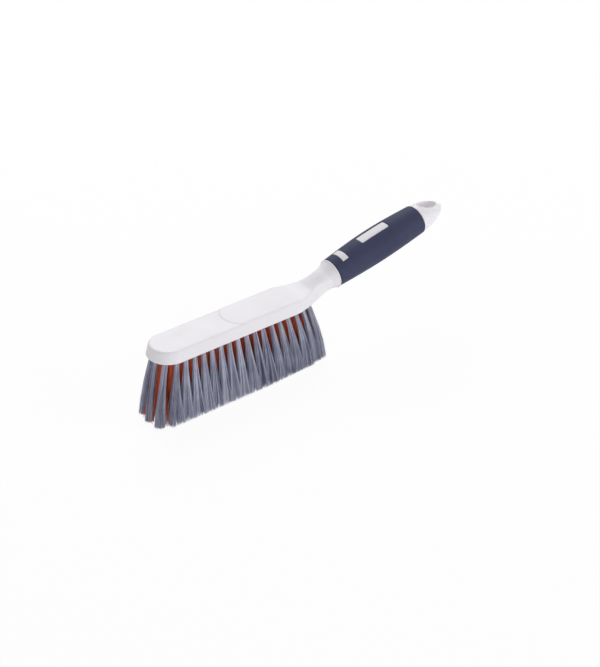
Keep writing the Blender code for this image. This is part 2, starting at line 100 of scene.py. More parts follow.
HEAD_HALF = HEAD_WIDTH / 2
EDGE_TO_BORE = SHELL_WALL + CLEARANCE + BLOCK_RIM + BORE_RADIUS
RING_HALF_WIDTH = HEAD_HALF - EDGE_TO_BORE
TUFT_ROW = (SIDE_TUFTS - 1) * TUFT_PITCH
REAR_TUFT = TUFT_ROW + RING_HALF_WIDTH
HEAD_STRAIGHT = TUFT_ROW - TAPER_BEFORE_LAST_TUFT
BLOCK_END = REAR_TUFT + BORE_RADIUS + BLOCK_RIM
NECK_START = BLOCK_END + CLEARANCE + SHELL_WALL
GRIP_START = NECK_START + NECK_LENGTH
AXIS = Vector((math.cos(GRIP_TILT), 0, math.sin(GRIP_TILT)))
ACROSS = Vector((0, 1, 0))
GRIP_UP = Vector((-math.sin(GRIP_TILT), 0, math.cos(GRIP_TILT)))
GRIP_FRONT = Vector((GRIP_START, 0, GRIP_FRONT_RADIUS))

SHIFT = Vector((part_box("handle_moulding")[0].x + HEAD_HALF, 0, BRISTLE_LENGTH))
print("shift into the frame:", tuple(round(value, 5) for value in SHIFT))

# %% [markdown]
# ## The camera
# The picture was taken with a long lens from the near side, about 31 degrees above the brush.
# The camera's place was found by matching the head's edges, the grip's rims and the bristle tips.

# %% Camera
CAMERA_TURN, CAMERA_RISE = math.radians(39.1002), math.radians(31.1931)
CAMERA_ROLL, CAMERA_DISTANCE, FOCAL_PIXELS = math.radians(0.4798), 1.81935, 2093.0
IMAGE_WIDTH, IMAGE_HEIGHT, SENSOR_WIDTH = 600, 667, 36.0
AIM, AIM_PIXEL = Vector((0.110, 0, 0)), (270.18, 311.39)


def add_object(name, content):
    """Put a mesh, a lens or a light into the scene as an object."""
    made = bpy.data.objects.new(name, content)
    bpy.context.scene.collection.objects.link(made)
    return made


back = Vector((-math.sin(CAMERA_TURN) * math.cos(CAMERA_RISE),
               -math.cos(CAMERA_TURN) * math.cos(CAMERA_RISE), math.sin(CAMERA_RISE)))
level = Vector((math.cos(CAMERA_TURN), -math.sin(CAMERA_TURN), 0))
upright = back.cross(level)
right = level * math.cos(CAMERA_ROLL) + upright * math.sin(CAMERA_ROLL)
up = upright * math.cos(CAMERA_ROLL) - level * math.sin(CAMERA_ROLL)

lens = bpy.data.cameras.new("camera")
lens.sensor_fit = "HORIZONTAL"
lens.sensor_width = SENSOR_WIDTH
lens.lens = FOCAL_PIXELS / IMAGE_WIDTH * SENSOR_WIDTH
lens.shift_x = (IMAGE_WIDTH / 2 - AIM_PIXEL[0]) / IMAGE_WIDTH
lens.shift_y = (AIM_PIXEL[1] - IMAGE_HEIGHT / 2) / IMAGE_WIDTH
camera = add_object("camera", lens)
place = AIM + SHIFT + back * CAMERA_DISTANCE
camera.matrix_world = Matrix(list(zip(right, up, back, place)) + [(0, 0, 0, 1)])
bpy.context.scene.camera = camera
print("camera at", tuple(round(value, 3) for value in camera.location))

# %% [markdown]
# ## Small helpers for shapes
# A skin is lofted through half sections that are mirrored on the fly. The helpers turn lists of
# points into a closed mesh object, and take one object out of another with an exact Boolean that
# is applied at once, so that every finished piece is a plain mesh with its place in its points.

# %% Shape helpers
SOFT_BELOW = math.radians(35)


def mix(a, b, share):
    """The value that lies a share of the way from a to b."""
    return a + (b - a) * share


def ease(share):
    """A smooth step from 0 to 1."""
    share = min(max(share, 0), 1)
    return share * share * (3 - 2 * share)


def settle(made, mesh):
    """Write a bmesh into a mesh, with its faces pointing out and its soft edges smooth."""
    bmesh.ops.recalc_face_normals(made, faces=made.faces)
    made.to_mesh(mesh)
    made.free()
    mesh.shade_smooth()
    mesh.set_sharp_from_angle(angle=SOFT_BELOW)
    return mesh


def new_object(name, made):
    """Make an object from a bmesh."""
    return add_object(name, settle(made, bpy.data.meshes.new(name)))


def bake(obj):
    """Replace an object's mesh by what its modifiers make of it."""
    deps = bpy.context.evaluated_depsgraph_get()
    mesh = bpy.data.meshes.new_from_object(obj.evaluated_get(deps), depsgraph=deps)
    obj.modifiers.clear()
    obj.data = mesh
    return obj


def take_out(obj, *cutters):
    """Cut shapes out of an object and throw the cutters away."""
    for cutter in cutters:
        modifier = obj.modifiers.new("cut", "BOOLEAN")
        modifier.operation, modifier.solver, modifier.object = "DIFFERENCE", "EXACT", cutter
    bpy.context.view_layer.update()
    bake(obj)
    for cutter in cutters:
        bpy.data.objects.remove(cutter)
    obj.data.set_sharp_from_angle(angle=SOFT_BELOW)
    return obj


def loft(made, rings):
    """Skin a list of closed rings of points, all of the same length."""
    rows = [[made.verts.new(point) for point in ring] for ring in rings]
    for first, second in zip(rows, rows[1:]):
        for index in range(len(first)):
            after = (index + 1) % len(first)
            made.faces.new((first[index], first[after], second[after], second[index]))
    return rows


def solid(name, rings):
    """Make an object from a list of rings, closed at both ends."""
    made = bmesh.new()
    rows = loft(made, rings)
    made.faces.new(rows[0])
    made.faces.new(rows[-1])
    return new_object(name, made)


print("shape helpers ready")

# %% [markdown]
# ## The head's outlines
# Seen from above the head is a long bar with a round front, and its two edges draw in to the neck
# behind the tufts. The lower edge and the narrower flat top each follow a smooth step. The
# tongue's nose is a power curve, which is a little fuller than a parabola.

# %% Head outlines
NOSE_POWER = 2.3


def sole_half_width(x):
    """Half the width of the head's lower edge."""
    return mix(HEAD_HALF, NECK_HALF_WIDTH, ease((x - HEAD_STRAIGHT) / HEAD_DRAWN_IN))


def crease_half_width(x):
    """Half the width of the head's flat top, which narrows to a ridge on the neck."""
    share = ease((x - HEAD_STRAIGHT - TONGUE_TAPER_DELAY) / TONGUE_DRAWN_IN)
    return mix(HEAD_HALF - SIDE_LEAN, TONGUE_NECK_HALF_WIDTH, share)


def tongue_front(y):
    """Where the raised tongue begins: a round nose that is furthest forward in its middle."""
    side = min(abs(y) / (HEAD_HALF - SIDE_LEAN), 1)
    return TONGUE_FRONT + TONGUE_NOSE * side ** NOSE_POWER


print("lower edge at the last tuft:", round(sole_half_width(REAR_TUFT), 5))

# %% [markdown]
# ## Half sections
# A section of the head is a flat sole, a leaning side, a rounded crease and a flat top. A section
# of the grip is round. Both are read at the same running number, from 0 in the middle of the sole
# to 14 in the middle of the top, so the neck can blend one into the other without a seam.

# %% Half sections
SOLE, FOOT, SIDE, CREASE, TOP = 3, 4, 7, 10, 14


def stops(start, end, each):
    """Running numbers from start to end, with so many steps to each whole number."""
    return {start + step / each for step in range((end - start) * each + 1)}


PROFILE_STOPS = sorted({0, 1, 2, 2.5} | stops(SOLE, FOOT, 4) | stops(FOOT, SIDE, 2)
                       | stops(SIDE, TOP, 4))


def rounded(start, corner, end, share):
    """A point on the curve that rounds a corner between its start and its end."""
    return start.lerp(corner, share).lerp(corner.lerp(end, share), share)


def boxy_point(stop, high, sole, crease):
    """A point of the head's half section."""
    corner, foot = Vector((crease, high)), Vector((sole, LOWER_EDGE_ROUND))
    shoulder = corner - (corner - foot).normalized() * CREASE_ROUND
    brow = corner - Vector((CREASE_ROUND, 0))
    inner = Vector((sole - LOWER_EDGE_ROUND, 0))
    if stop <= SOLE:
        return inner * (stop / SOLE)
    if stop <= FOOT:
        return rounded(inner, Vector((sole, 0)), foot, stop - SOLE)
    if stop <= SIDE:
        return foot.lerp(shoulder, (stop - FOOT) / (SIDE - FOOT))
    if stop <= CREASE:
        return rounded(shoulder, corner, brow, (stop - SIDE) / (CREASE - SIDE))
    return brow.lerp(Vector((0, high)), (stop - CREASE) / (TOP - CREASE))


def half_turn(stop):
    """The angle at a running number of a round section, from straight down to straight up."""
    return math.pi * (stop / TOP - 1 / 2)


def round_point(stop, high, half_width):
    """A point of a round half section."""
    angle = half_turn(stop)
    return Vector((half_width * math.cos(angle), high / 2 * (1 + math.sin(angle))))


def full_ring(place, upward, half_points):
    """Mirror a half section and set it in place as one closed ring."""
    near = [place + upward * h - ACROSS * w for w, h in half_points]
    far = [place + upward * h + ACROSS * w for w, h in half_points[1:-1]]
    return near + far[::-1]


print("points in half a section:", len(PROFILE_STOPS))

# %% [markdown]
# ## Shoulder and neck
# Behind the tufts the head dips, draws in and turns up into the round neck. That form was read
# from the picture as a short table, one row for each place where it changes, and a smooth curve
# through the rows gives as many sections as the skin needs.

# %% Shoulder and neck
NECK_SHARES = (  # place (1 is the neck's start), height, roundness above and below, tilt
    (0.00, 0.000, 0.00, 0.00, 0.0), (0.20, -0.050, 0.00, 0.00, 0.0),
    (0.41, -0.085, 0.04, 0.00, 0.0), (0.60, -0.035, 0.12, 0.00, 0.0),
    (0.79, 0.065, 0.30, 0.02, 0.1), (1.00, 0.245, 0.52, 0.15, 0.3),
    (1.39, 0.510, 0.85, 0.75, 0.8), (1.68, 0.680, 1.00, 1.00, 1.0),
    (2.00, 1.000, 1.00, 1.00, 1.0),
)


def smooth_row(rows, place):
    """A smooth curve through the rows, read at a place such as 2.5, halfway from row 2 to 3."""
    index = min(int(place), len(rows) - 2)
    t = place - index
    before, start, end = rows[max(index - 1, 0)], rows[index], rows[index + 1]
    after = rows[min(index + 2, len(rows) - 1)]
    values = []
    for a, b, c, d in zip(before, start, end, after):
        bend = (2 * a - 5 * b + 4 * c - d) * t * t
        values.append((2 * b + (c - a) * t + bend + (3 * b - a - 3 * c + d) * t * t * t) / 2)
    return values


def neck_ring(row):
    """A ring of the shoulder or the neck, from a row of shares."""
    place, top, upper_round, lower_round, turned = row
    x = mix(HEAD_STRAIGHT, NECK_START, min(place, 1)) + NECK_LENGTH * max(place - 1, 0)
    high = mix(HEAD_HEIGHT, 2 * GRIP_FRONT_RADIUS, top)
    flare = ease((place - NECK_SHARES[-2][0]) / (NECK_SHARES[-1][0] - NECK_SHARES[-2][0]))
    half = mix(sole_half_width(x), GRIP_FRONT_RADIUS, flare)
    points = []
    for stop in PROFILE_STOPS:
        roundness = mix(lower_round, upper_round, ease(stop / TOP))
        boxy = boxy_point(stop, high, half, crease_half_width(x))
        point = boxy.lerp(round_point(stop, high, half), roundness)
        points.append((point.x, point.y - high / 2))
    tilt = GRIP_TILT * turned
    upward = Vector((-math.sin(tilt), 0, math.cos(tilt)))
    return full_ring(Vector((x, 0, high / 2)), upward, points)


print("rows from shoulder to grip:", len(NECK_SHARES))

# %% [markdown]
# ## The grip's line and radius
# The handle rises at 12 degrees, bows up a little and swells in the middle to fill a hand.
# Sleeve, core, pads and end are all measured from this one surface.

# %% Grip rings
END_WIDTH_POWER, END_HEIGHT_POWER = 0.62, 0.70


def grip_place(share):
    """A point on the grip's centre line."""
    bow = GRIP_BOW * math.sin(math.pi * share)
    return GRIP_FRONT + AXIS * (GRIP_LENGTH * share) + GRIP_UP * bow


def grip_radius(share):
    """The outer radius of the grip."""
    swell = GRIP_SWELL * math.sin(math.pi * share)
    return mix(GRIP_FRONT_RADIUS, GRIP_REAR_RADIUS, share) + swell


def oval_ring(place, half_width, half_height):
    """A round or oval ring, square to the grip."""
    turns = [half_turn(stop) for stop in PROFILE_STOPS]
    points = [(half_width * math.cos(turn), half_height * math.sin(turn)) for turn in turns]
    return full_ring(place, GRIP_UP, points)


def grip_ring(share, inset):
    """A ring of the grip, set in from its surface."""
    radius = grip_radius(share) - inset
    return oval_ring(grip_place(share), radius, radius)


def end_size(share):
    """Half width, half height and middle of the handle's end, which tapers to a round tip."""
    fall = 1 - share * share
    size = GRIP_REAR_RADIUS - END_STEP
    place = grip_place(1) + AXIS * (END_LENGTH * share) - GRIP_UP * (END_DROOP * share * share)
    return size * fall ** END_WIDTH_POWER, size * fall ** END_HEIGHT_POWER, place


print("grip across its middle:", round(grip_radius(0.5) * 2, 4))

# %% [markdown]
# ## The white moulding
# Head, neck, core and end are one moulding on the real brush, so they are one skin here. It
# starts at the round front, where the first half section is swung round like a lathe cut, and
# runs to the handle's tip. The raised tongue is only half a millimetre high, so the top in front
# of it is pressed down on a dense patch of the skin, which keeps its edge soft.

# %% Rings of the moulding
NECK_STEPS, GRIP_STEPS, END_STEPS = 6, 24, 32
ROWS_AHEAD, ROWS_BEHIND = [0, 0.015, 0.030, 0.045], [0.080, 0.095, 0.110]
DENSE_ROWS, DENSE_GAP, DENSE_START = 28, 0.0004, TONGUE_FRONT - 0.001
STEP_WIDTH, PRESSED_DEPTH = 0.0008, 0.004
RIM_ROUND = ((0.0011, 0.0002), (0.0007, 0.00005), (0.0003, 0), (0.0001, 0.00008), (0, 0.0003))
END_ROUND = ((0, 0.0005), (0.0002, 0.0001))


def press_down(point):
    """Lower the head's top in front of the tongue, fading out down the side."""
    inside = ease((point.x - tongue_front(point.y)) / STEP_WIDTH + 0.5)
    depth = max(point.z - (HEAD_HEIGHT - PRESSED_DEPTH), 0) / PRESSED_DEPTH
    return point - Vector((0, 0, TONGUE_RISE * (1 - inside) * depth))


def head_rings(profile):
    """The rings of the straight head, close together where the tongue begins."""
    dense = [DENSE_START + step * DENSE_GAP for step in range(DENSE_ROWS)]
    upward = Vector((0, 0, 1))
    return [[press_down(point) for point in full_ring(Vector((x, 0, 0)), upward, profile)]
            for x in ROWS_AHEAD + dense + ROWS_BEHIND]


def handle_rings():
    """The rings of shoulder, neck, rim, core and end, up to the handle's tip."""
    rings = [neck_ring(smooth_row(NECK_SHARES, step / NECK_STEPS))
             for step in range((len(NECK_SHARES) - 1) * NECK_STEPS)]
    lip = GRIP_FRONT_RADIUS + RIM_PROUD
    rings += [oval_ring(grip_place(0) - AXIS * before, lip - shrink, lip - shrink)
              for before, shrink in RIM_ROUND]
    rings += [grip_ring(step / GRIP_STEPS, SLEEVE_WALL) for step in range(GRIP_STEPS + 1)]
    size, _, rear = end_size(0)
    rings += [oval_ring(rear + AXIS * behind, size - shrink, size - shrink)
              for behind, shrink in END_ROUND]
    for step in range(2, END_STEPS):
        half_width, half_height, place = end_size(math.sin(math.pi / 2 * step / END_STEPS))
        rings.append(oval_ring(place, half_width, half_height))
    return rings


front_profile = [tuple(boxy_point(stop, HEAD_HEIGHT, HEAD_HALF, HEAD_HALF - SIDE_LEAN))
                 for stop in PROFILE_STOPS]
moulding_rings = head_rings(front_profile) + handle_rings()
print("rings of the moulding:", len(moulding_rings))

# %% Moulding skin
FRONT_STEPS = 32


def swing_front(made, first_row, profile):
    """Close the head's front by swinging its half section round the ring's middle line."""
    half = len(profile) - 1
    sole, top = first_row[0], first_row[half]
    lines = [first_row[1:half]]
    for step in range(1, FRONT_STEPS):
        turn = math.pi * step / FRONT_STEPS
        out = Vector((-math.sin(turn), -math.cos(turn), 0))
        lines.append([made.verts.new(press_down(out * w + Vector((0, 0, h))))
                      for w, h in profile[1:-1]])
    lines.append(first_row[:half:-1])
    for first, second in zip(lines, lines[1:]):
        made.faces.new((sole, first[0], second[0]))
        made.faces.new((top, first[-1], second[-1]))
        for low in range(len(first) - 1):
            made.faces.new((first[low], first[low + 1], second[low + 1], second[low]))


skin = bmesh.new()
skin_rows = loft(skin, moulding_rings)
skin.faces.new(skin_rows[-1])
swing_front(skin, skin_rows[0], front_profile)
moulding = new_object("handle_moulding_skin", skin)
print("moulding skin:", len(moulding.data.polygons), "faces")

# %% [markdown]
# ## Cutters with a rounded mouth
# Moulded holes have no sharp lips. A bevel after a Boolean often breaks on the thin slivers that
# the cut leaves, so the cutter itself is flared: its wall runs straight until just under the
# surface, then curls outwards through most of a quarter circle before it leaves the plastic.

# %% Cutter for the hanging hole
MOUTH_TURN, HOLE_ROUND, HOLE_SIDES = math.radians(78), 0.0009, 64
NEAR_TIP = 0.999


def end_height(along, y):
    """Heights of the end's upper and lower surface above the grip's rear axis, at a place."""
    share = min(max(along / END_LENGTH, 0), NEAR_TIP)
    half_width, half_height, _ = end_size(share)
    rise = half_height * math.sqrt(max(1 - (y / half_width) ** 2, 0))
    droop = END_DROOP * share * share
    return rise - droop, -rise - droop


def mouth_steps(rounding, steps=5):
    """Offset out of the hole and depth under the surface, along the round of a mouth."""
    turns = [MOUTH_TURN * step / steps for step in range(steps + 1)]
    return [(rounding * (1 - math.cos(turn)), rounding * (1 - math.sin(turn))) for turn in turns]


def hole_ring(offset, side, depth):
    """A ring of the hanging hole, at a depth under the upper (1) or the lower (-1) surface."""
    points = []
    for step in range(HOLE_SIDES):
        turn = 2 * math.pi * (step + 0.5) / HOLE_SIDES
        along = HOLE_FROM_GRIP + (HOLE_LENGTH / 2 + offset) * math.cos(turn)
        y = (HOLE_WIDTH / 2 + offset) * math.sin(turn)
        height = end_height(along, y)[0 if side > 0 else 1] - side * depth
        points.append(grip_place(1) + AXIS * along + ACROSS * y + GRIP_UP * height)
    return points


def hole_cutter():
    """The oval hanging hole, with a rounded mouth above and below."""
    mouth = mouth_steps(HOLE_ROUND)
    widest = mouth[-1][0]
    rings = [hole_ring(widest, -1, -OVERRUN)]
    rings += [hole_ring(offset, -1, depth) for offset, depth in reversed(mouth)]
    rings += [hole_ring(offset, 1, depth) for offset, depth in mouth]
    return solid("hole_cutter", [*rings, hole_ring(widest, 1, -OVERRUN)])


print("steps in the hole's mouth:", len(mouth_steps(HOLE_ROUND)))

# %% [markdown]
# ## Windows on a curved grip
# A window is drawn flat, as a bar with round corners, and each of its points is then set on the
# grip at its own height. The same outline, grown or shrunk, serves the cutter and the pad.

# %% Cutter for a window
# Start and end along the grip, half width and corner radius of each window.
WINDOWS = {"band": (0.0093, 0.0163, 0.0080, 0.0005), "label": (0.0349, 0.0675, 0.0050, 0.0018)}
LEAST_CORNER, WINDOW_ROUND, WINDOW_BELOW = 0.00005, 0.0003, 0.002


def bar_outline(low, high, half_width, corner, offset=0.0, per_corner=6, per_side=12):
    """A rounded rectangle along the grip, grown by an offset, with points on its sides too."""
    low, high, side = low - offset, high + offset, half_width + offset
    radius = max(corner + offset, LEAST_CORNER)
    middles = ((high - radius, side - radius), (low + radius, side - radius),
               (low + radius, radius - side), (high - radius, radius - side))

    def on_corner(quarter, quarters):
        """A point of a corner, so many quarter turns round."""
        (x, y), turn = middles[quarter % 4], math.pi / 2 * quarters
        return Vector((x + radius * math.cos(turn), y + radius * math.sin(turn)))

    points = []
    for quarter in range(4):
        points += [on_corner(quarter, quarter + step / per_corner)
                   for step in range(per_corner + 1)]
        start, end = points[-1], on_corner(quarter + 1, quarter + 1)
        points += [start.lerp(end, step / per_side) for step in range(1, per_side)]
    return points


def on_grip(point, below):
    """A point of a flat outline, set at a depth below the grip's surface."""
    share = min(max(point.x / GRIP_LENGTH, 0), 1)
    height = math.sqrt(grip_radius(share) ** 2 - point.y * point.y)
    height += GRIP_BOW * math.sin(math.pi * share) - below
    return GRIP_FRONT + AXIS * point.x + ACROSS * point.y + GRIP_UP * height


def window_cutter(window):
    """A window through the sleeve, with a rounded mouth."""
    mouth = mouth_steps(WINDOW_ROUND, 3)
    steps = [(0, SLEEVE_WALL + WINDOW_BELOW), *mouth, (mouth[-1][0], -OVERRUN)]
    return solid("window_cutter", [[on_grip(point, depth) for point in bar_outline(*window, offset)]
                                   for offset, depth in steps])


print("window outline points:", len(bar_outline(*WINDOWS["label"])))

# %% [markdown]
# ## Cutting the moulding
# The pocket under the head takes the tuft block, and the oval hole near the tip hangs the brush
# up. The block will follow the same outline as its pocket, one clearance further in.

# %% Pocket and hanging hole
def between(start, end, steps):
    """Values half a step inside a range."""
    return [mix(start, end, (step + 0.5) / steps) for step in range(steps)]


def head_outline(inset, rear, steps=36):
    """Points round the head as seen from below, inside its lower edge."""
    radius = HEAD_HALF - inset
    front = [(radius * math.cos(turn), radius * math.sin(turn))
             for turn in between(math.pi / 2, 3 * math.pi / 2, steps)]
    near = [(TUFT_PITCH / 2, -radius)]
    near += [(x, inset - sole_half_width(x))
             for x in between(HEAD_STRAIGHT, REAR_TUFT, steps // 2)]
    depth, half_width = rear - REAR_TUFT, sole_half_width(REAR_TUFT) - inset
    end = [(REAR_TUFT + depth * math.cos(turn), half_width * math.sin(turn))
           for turn in between(-math.pi / 2, math.pi / 2, steps)]
    return front + near + end + [(x, -y) for x, y in reversed(near)]


def plate(name, steps):
    """A plate with the head's outline, from steps of inset, rear end and height."""
    return solid(name, [[Vector((x, y, height)) for x, y in head_outline(inset, rear)]
                        for inset, rear, height in steps])


pocket_top = BLOCK_THICKNESS - BLOCK_PROUD + CLEARANCE
pocket = plate("pocket", [(SHELL_WALL, BLOCK_END + CLEARANCE, height)
                          for height in (-OVERRUN, pocket_top)])
take_out(moulding, pocket, hole_cutter())
print("moulding after its cuts:", len(moulding.data.polygons), "faces")

# %% [markdown]
# ## The two pads
# Band and label pad are raised parts of the white core that come up through windows in the
# sleeve. Each is a small crowned cap: a wall, a rounded edge, and rings that shrink towards its
# middle line on the grip's own curve. Both are plain.

# %% Pads
PAD_FLUSH, PAD_ROUND, PAD_ROOT, ROUND_STEPS = 0.0002, 0.00035, 0.001, 4
CROWN_SHARES = (0.85, 0.7, 0.55, 0.4, 0.25, 0.1)


def pad(name, window):
    """A crowned cap that fills a window of the sleeve, a clearance away from its walls."""
    rings = [[on_grip(point, SLEEVE_WALL + PAD_ROOT) for point in bar_outline(*window, -CLEARANCE)]]
    for turn in [math.pi / 2 * step / ROUND_STEPS for step in range(ROUND_STEPS + 1)]:
        inset = -CLEARANCE - PAD_ROUND * (1 - math.cos(turn))
        depth = PAD_FLUSH + PAD_ROUND * (1 - math.sin(turn))
        rings.append([on_grip(point, depth) for point in bar_outline(*window, inset)])
    middle = Vector(((window[0] + window[1]) / 2, 0))
    edge = bar_outline(*window, -CLEARANCE - PAD_ROUND)
    rings += [[on_grip(middle.lerp(point, share), PAD_FLUSH) for point in edge]
              for share in CROWN_SHARES]
    return solid(name, rings)


pads = [pad(name + "_pad", window) for name, window in WINDOWS.items()]
print("pads:", [piece.name for piece in pads])

# %% [markdown]
# ## Helpers for node trees
# Every tree is built in the script. The first helper adds a node and fills its sockets: with a
# link where it is given another node's output, and with a plain value where it is given a number.
# Nearly always a node's first output is the one that is wanted, so the second returns that.

# %% Node helpers
def add_node(tree, kind, sockets=None, **options):
    """Add a node with its options and its sockets, and return it."""
    made = tree.nodes.new(kind)
    for option, value in options.items():
        setattr(made, option, value)
    for socket, value in (sockets or {}).items():
        if isinstance(value, bpy.types.NodeSocket):
            tree.links.new(value, made.inputs[socket])
        else:
            made.inputs[socket].default_value = value
    return made


def put(tree, kind, sockets=None, **options):
    """Add a node, and return its first output."""
    return add_node(tree, kind, sockets, **options).outputs[0]


def maths(tree, operation, *values):
    """The result of a Math node."""
    return put(tree, "ShaderNodeMath", dict(enumerate(values)), operation=operation)


def vector_maths(tree, operation, *values):
    """The result of a Vector Math node."""
    return put(tree, "ShaderNodeVectorMath", dict(enumerate(values)), operation=operation)


def vector_of(tree, **parts):
    """A vector from its X, Y and Z."""
    return put(tree, "ShaderNodeCombineXYZ", parts)


def parts_of(tree, vector):
    """The X, Y and Z of a vector."""
    return add_node(tree, "ShaderNodeSeparateXYZ", {0: vector}).outputs


def blend(tree, share, first, second, kind="FLOAT"):
    """Mix two numbers, vectors or colours by a share."""
    start, result = {"FLOAT": (2, 0), "VECTOR": (4, 1), "RGBA": (6, 2)}[kind]
    sockets = {0: share, start: first, start + 1: second}
    return add_node(tree, "ShaderNodeMix", sockets, data_type=kind).outputs[result]


def noise(tree, vector, scale, detail, roughness=0.5):
    """A noise texture's value."""
    return put(tree, "ShaderNodeTexNoise", {"Vector": vector, "Scale": scale, "Detail": detail,
                                            "Roughness": roughness})


def remap(tree, value, low, high, to_low=0.0, to_high=1.0):
    """Stretch a value from one range to another, held inside it."""
    return put(tree, "ShaderNodeMapRange", dict(enumerate((value, low, high, to_low, to_high))))


def new_tree(name, kind, inputs, outputs):
    """A tree with named sockets. Returns the tree, what it is given and where its result goes."""
    tree = bpy.data.node_groups.new(name, kind)
    for side, sockets in (("INPUT", inputs), ("OUTPUT", outputs)):
        for label, (type_name, value) in sockets.items():
            socket = tree.interface.new_socket(
                label, in_out=side, socket_type="NodeSocket" + type_name)
            if value is not None:
                socket.default_value = value
    return tree, tree.nodes.new("NodeGroupInput").outputs, tree.nodes.new("NodeGroupOutput")


print("node helpers ready")

# %% [markdown]
# ## Helpers for geometry trees
# A geometry tree has named inputs for its sizes, and ends in real geometry with its material on.
# It runs as a modifier whose inputs are set before the first evaluation, and only its plain mesh
# is kept.

# %% Geometry helpers
def shape_tree(name, sizes):
    """A geometry tree with named inputs for its sizes."""
    shape = {"Geometry": ("Geometry", None)}
    return new_tree(name, "GeometryNodeTree", shape | sizes, shape)


def store(tree, geometry, name, value, kind="FLOAT"):
    """Store a value on the points of a geometry under a name."""
    return put(tree, "GeometryNodeStoreNamedAttribute", {
        "Geometry": geometry, "Name": name, "Value": value},
        data_type=kind, domain="POINT")


def read(tree, name, kind="FLOAT"):
    """A value that was stored on the points under a name."""
    return put(tree, "GeometryNodeInputNamedAttribute", {"Name": name}, data_type=kind)


def finish_tree(tree, geometry, material, result):
    """End a tree the same way each time: real geometry with its material on."""
    whole = put(tree, "GeometryNodeRealizeInstances", {"Geometry": geometry})
    painted = put(tree, "GeometryNodeSetMaterial", {"Geometry": whole, "Material": material})
    tree.links.new(painted, result.inputs["Geometry"])


def face_out(obj):
    """Turn an object's faces outwards and shade its soft edges smooth."""
    made = bmesh.new()
    made.from_mesh(obj.data)
    settle(made, obj.data)


def grow(obj, tree, values):
    """Run a tree on an object with values for its named inputs, and keep the plain mesh."""
    modifier = obj.modifiers.new(tree.name, "NODES")
    modifier.node_group = tree
    for item in tree.interface.items_tree:
        if item.item_type == "SOCKET" and item.in_out == "INPUT" and item.name in values:
            modifier[item.identifier] = values[item.name]
    bpy.context.view_layer.update()
    return bake(obj)


print("geometry helpers ready")

# %% [markdown]
# ## The navy sleeve
# The soft sleeve is moulded over the core: a wall of even thickness that follows a simple rule
# all the way, the grip's radius and its slight bow. A tree can draw that. It draws the wall's
# section as a long thin rectangle with rounded corners, sends it round a circle, and then sets
# every point by its place in the section and by how far round it has gone.

# %% Sleeve wall
def wall_section(tree, sizes):
    """The wall's section, finely divided along its two long sides."""
    node, calc = partial(put, tree), partial(maths, tree)
    long_side = calc("SUBTRACT", sizes["Length"], calc("MULTIPLY", sizes["End Gap"], 2.0))
    section = node("GeometryNodeCurvePrimitiveQuadrilateral", {
        "Width": long_side, "Height": sizes["Wall"]})
    section = node("GeometryNodeFilletCurve", {
        "Curve": section, "Count": 4, "Radius": sizes["Edge Round"]}, mode="POLY")
    place = node("GeometryNodeInputPosition")
    ahead = add_node(tree, "GeometryNodeOffsetPointInCurve", {"Offset": 1}).outputs["Point Index"]
    following = node("GeometryNodeFieldAtIndex", {"Value": place, "Index": ahead},
                     data_type="FLOAT_VECTOR", domain="POINT")
    gap = add_node(tree, "ShaderNodeVectorMath", {0: place, 1: following}, operation="DISTANCE")
    is_long = calc("GREATER_THAN", gap.outputs["Value"], sizes["Wall"])
    section = node("GeometryNodeSubdivideCurve", {
        "Curve": section, "Cuts": calc("MULTIPLY", is_long, sizes["Rows"])})
    return store(tree, section, "section", place, "FLOAT_VECTOR")


def round_path(tree, sizes):
    """The circle that the section is sent round, with the turn stored on its points."""
    path = put(tree, "GeometryNodeCurvePrimitiveCircle", {
        "Resolution": sizes["Sides"], "Radius": 1.0})
    share = put(tree, "GeometryNodeSplineParameter")
    return store(tree, path, "turn", maths(tree, "MULTIPLY", share, 2 * math.pi))


def wall_place(tree, sizes):
    """Where a point of the wall belongs on the level grip, from its section and its turn."""
    calc = partial(maths, tree)
    drawn, turn = parts_of(tree, read(tree, "section", "FLOAT_VECTOR")), read(tree, "turn")
    share = calc("ADD", calc("DIVIDE", drawn["X"], sizes["Length"]), 0.5)
    arch = calc("SINE", calc("MULTIPLY", share, math.pi))
    tapered = blend(tree, share, sizes["Front Radius"], sizes["Rear Radius"])
    middle = calc("SUBTRACT", tapered, calc("MULTIPLY", sizes["Wall"], 0.5))
    radius = calc("ADD", calc("ADD", middle, drawn["Y"]), calc("MULTIPLY", arch, sizes["Swell"]))
    rise = calc("ADD", calc("MULTIPLY", radius, calc("SINE", turn)),
                calc("MULTIPLY", arch, sizes["Bow"]))
    return vector_of(tree, X=calc("MULTIPLY", share, sizes["Length"]),
                     Y=calc("MULTIPLY", radius, calc("COSINE", turn)), Z=rise)


print("sleeve wall thickness:", SLEEVE_WALL)

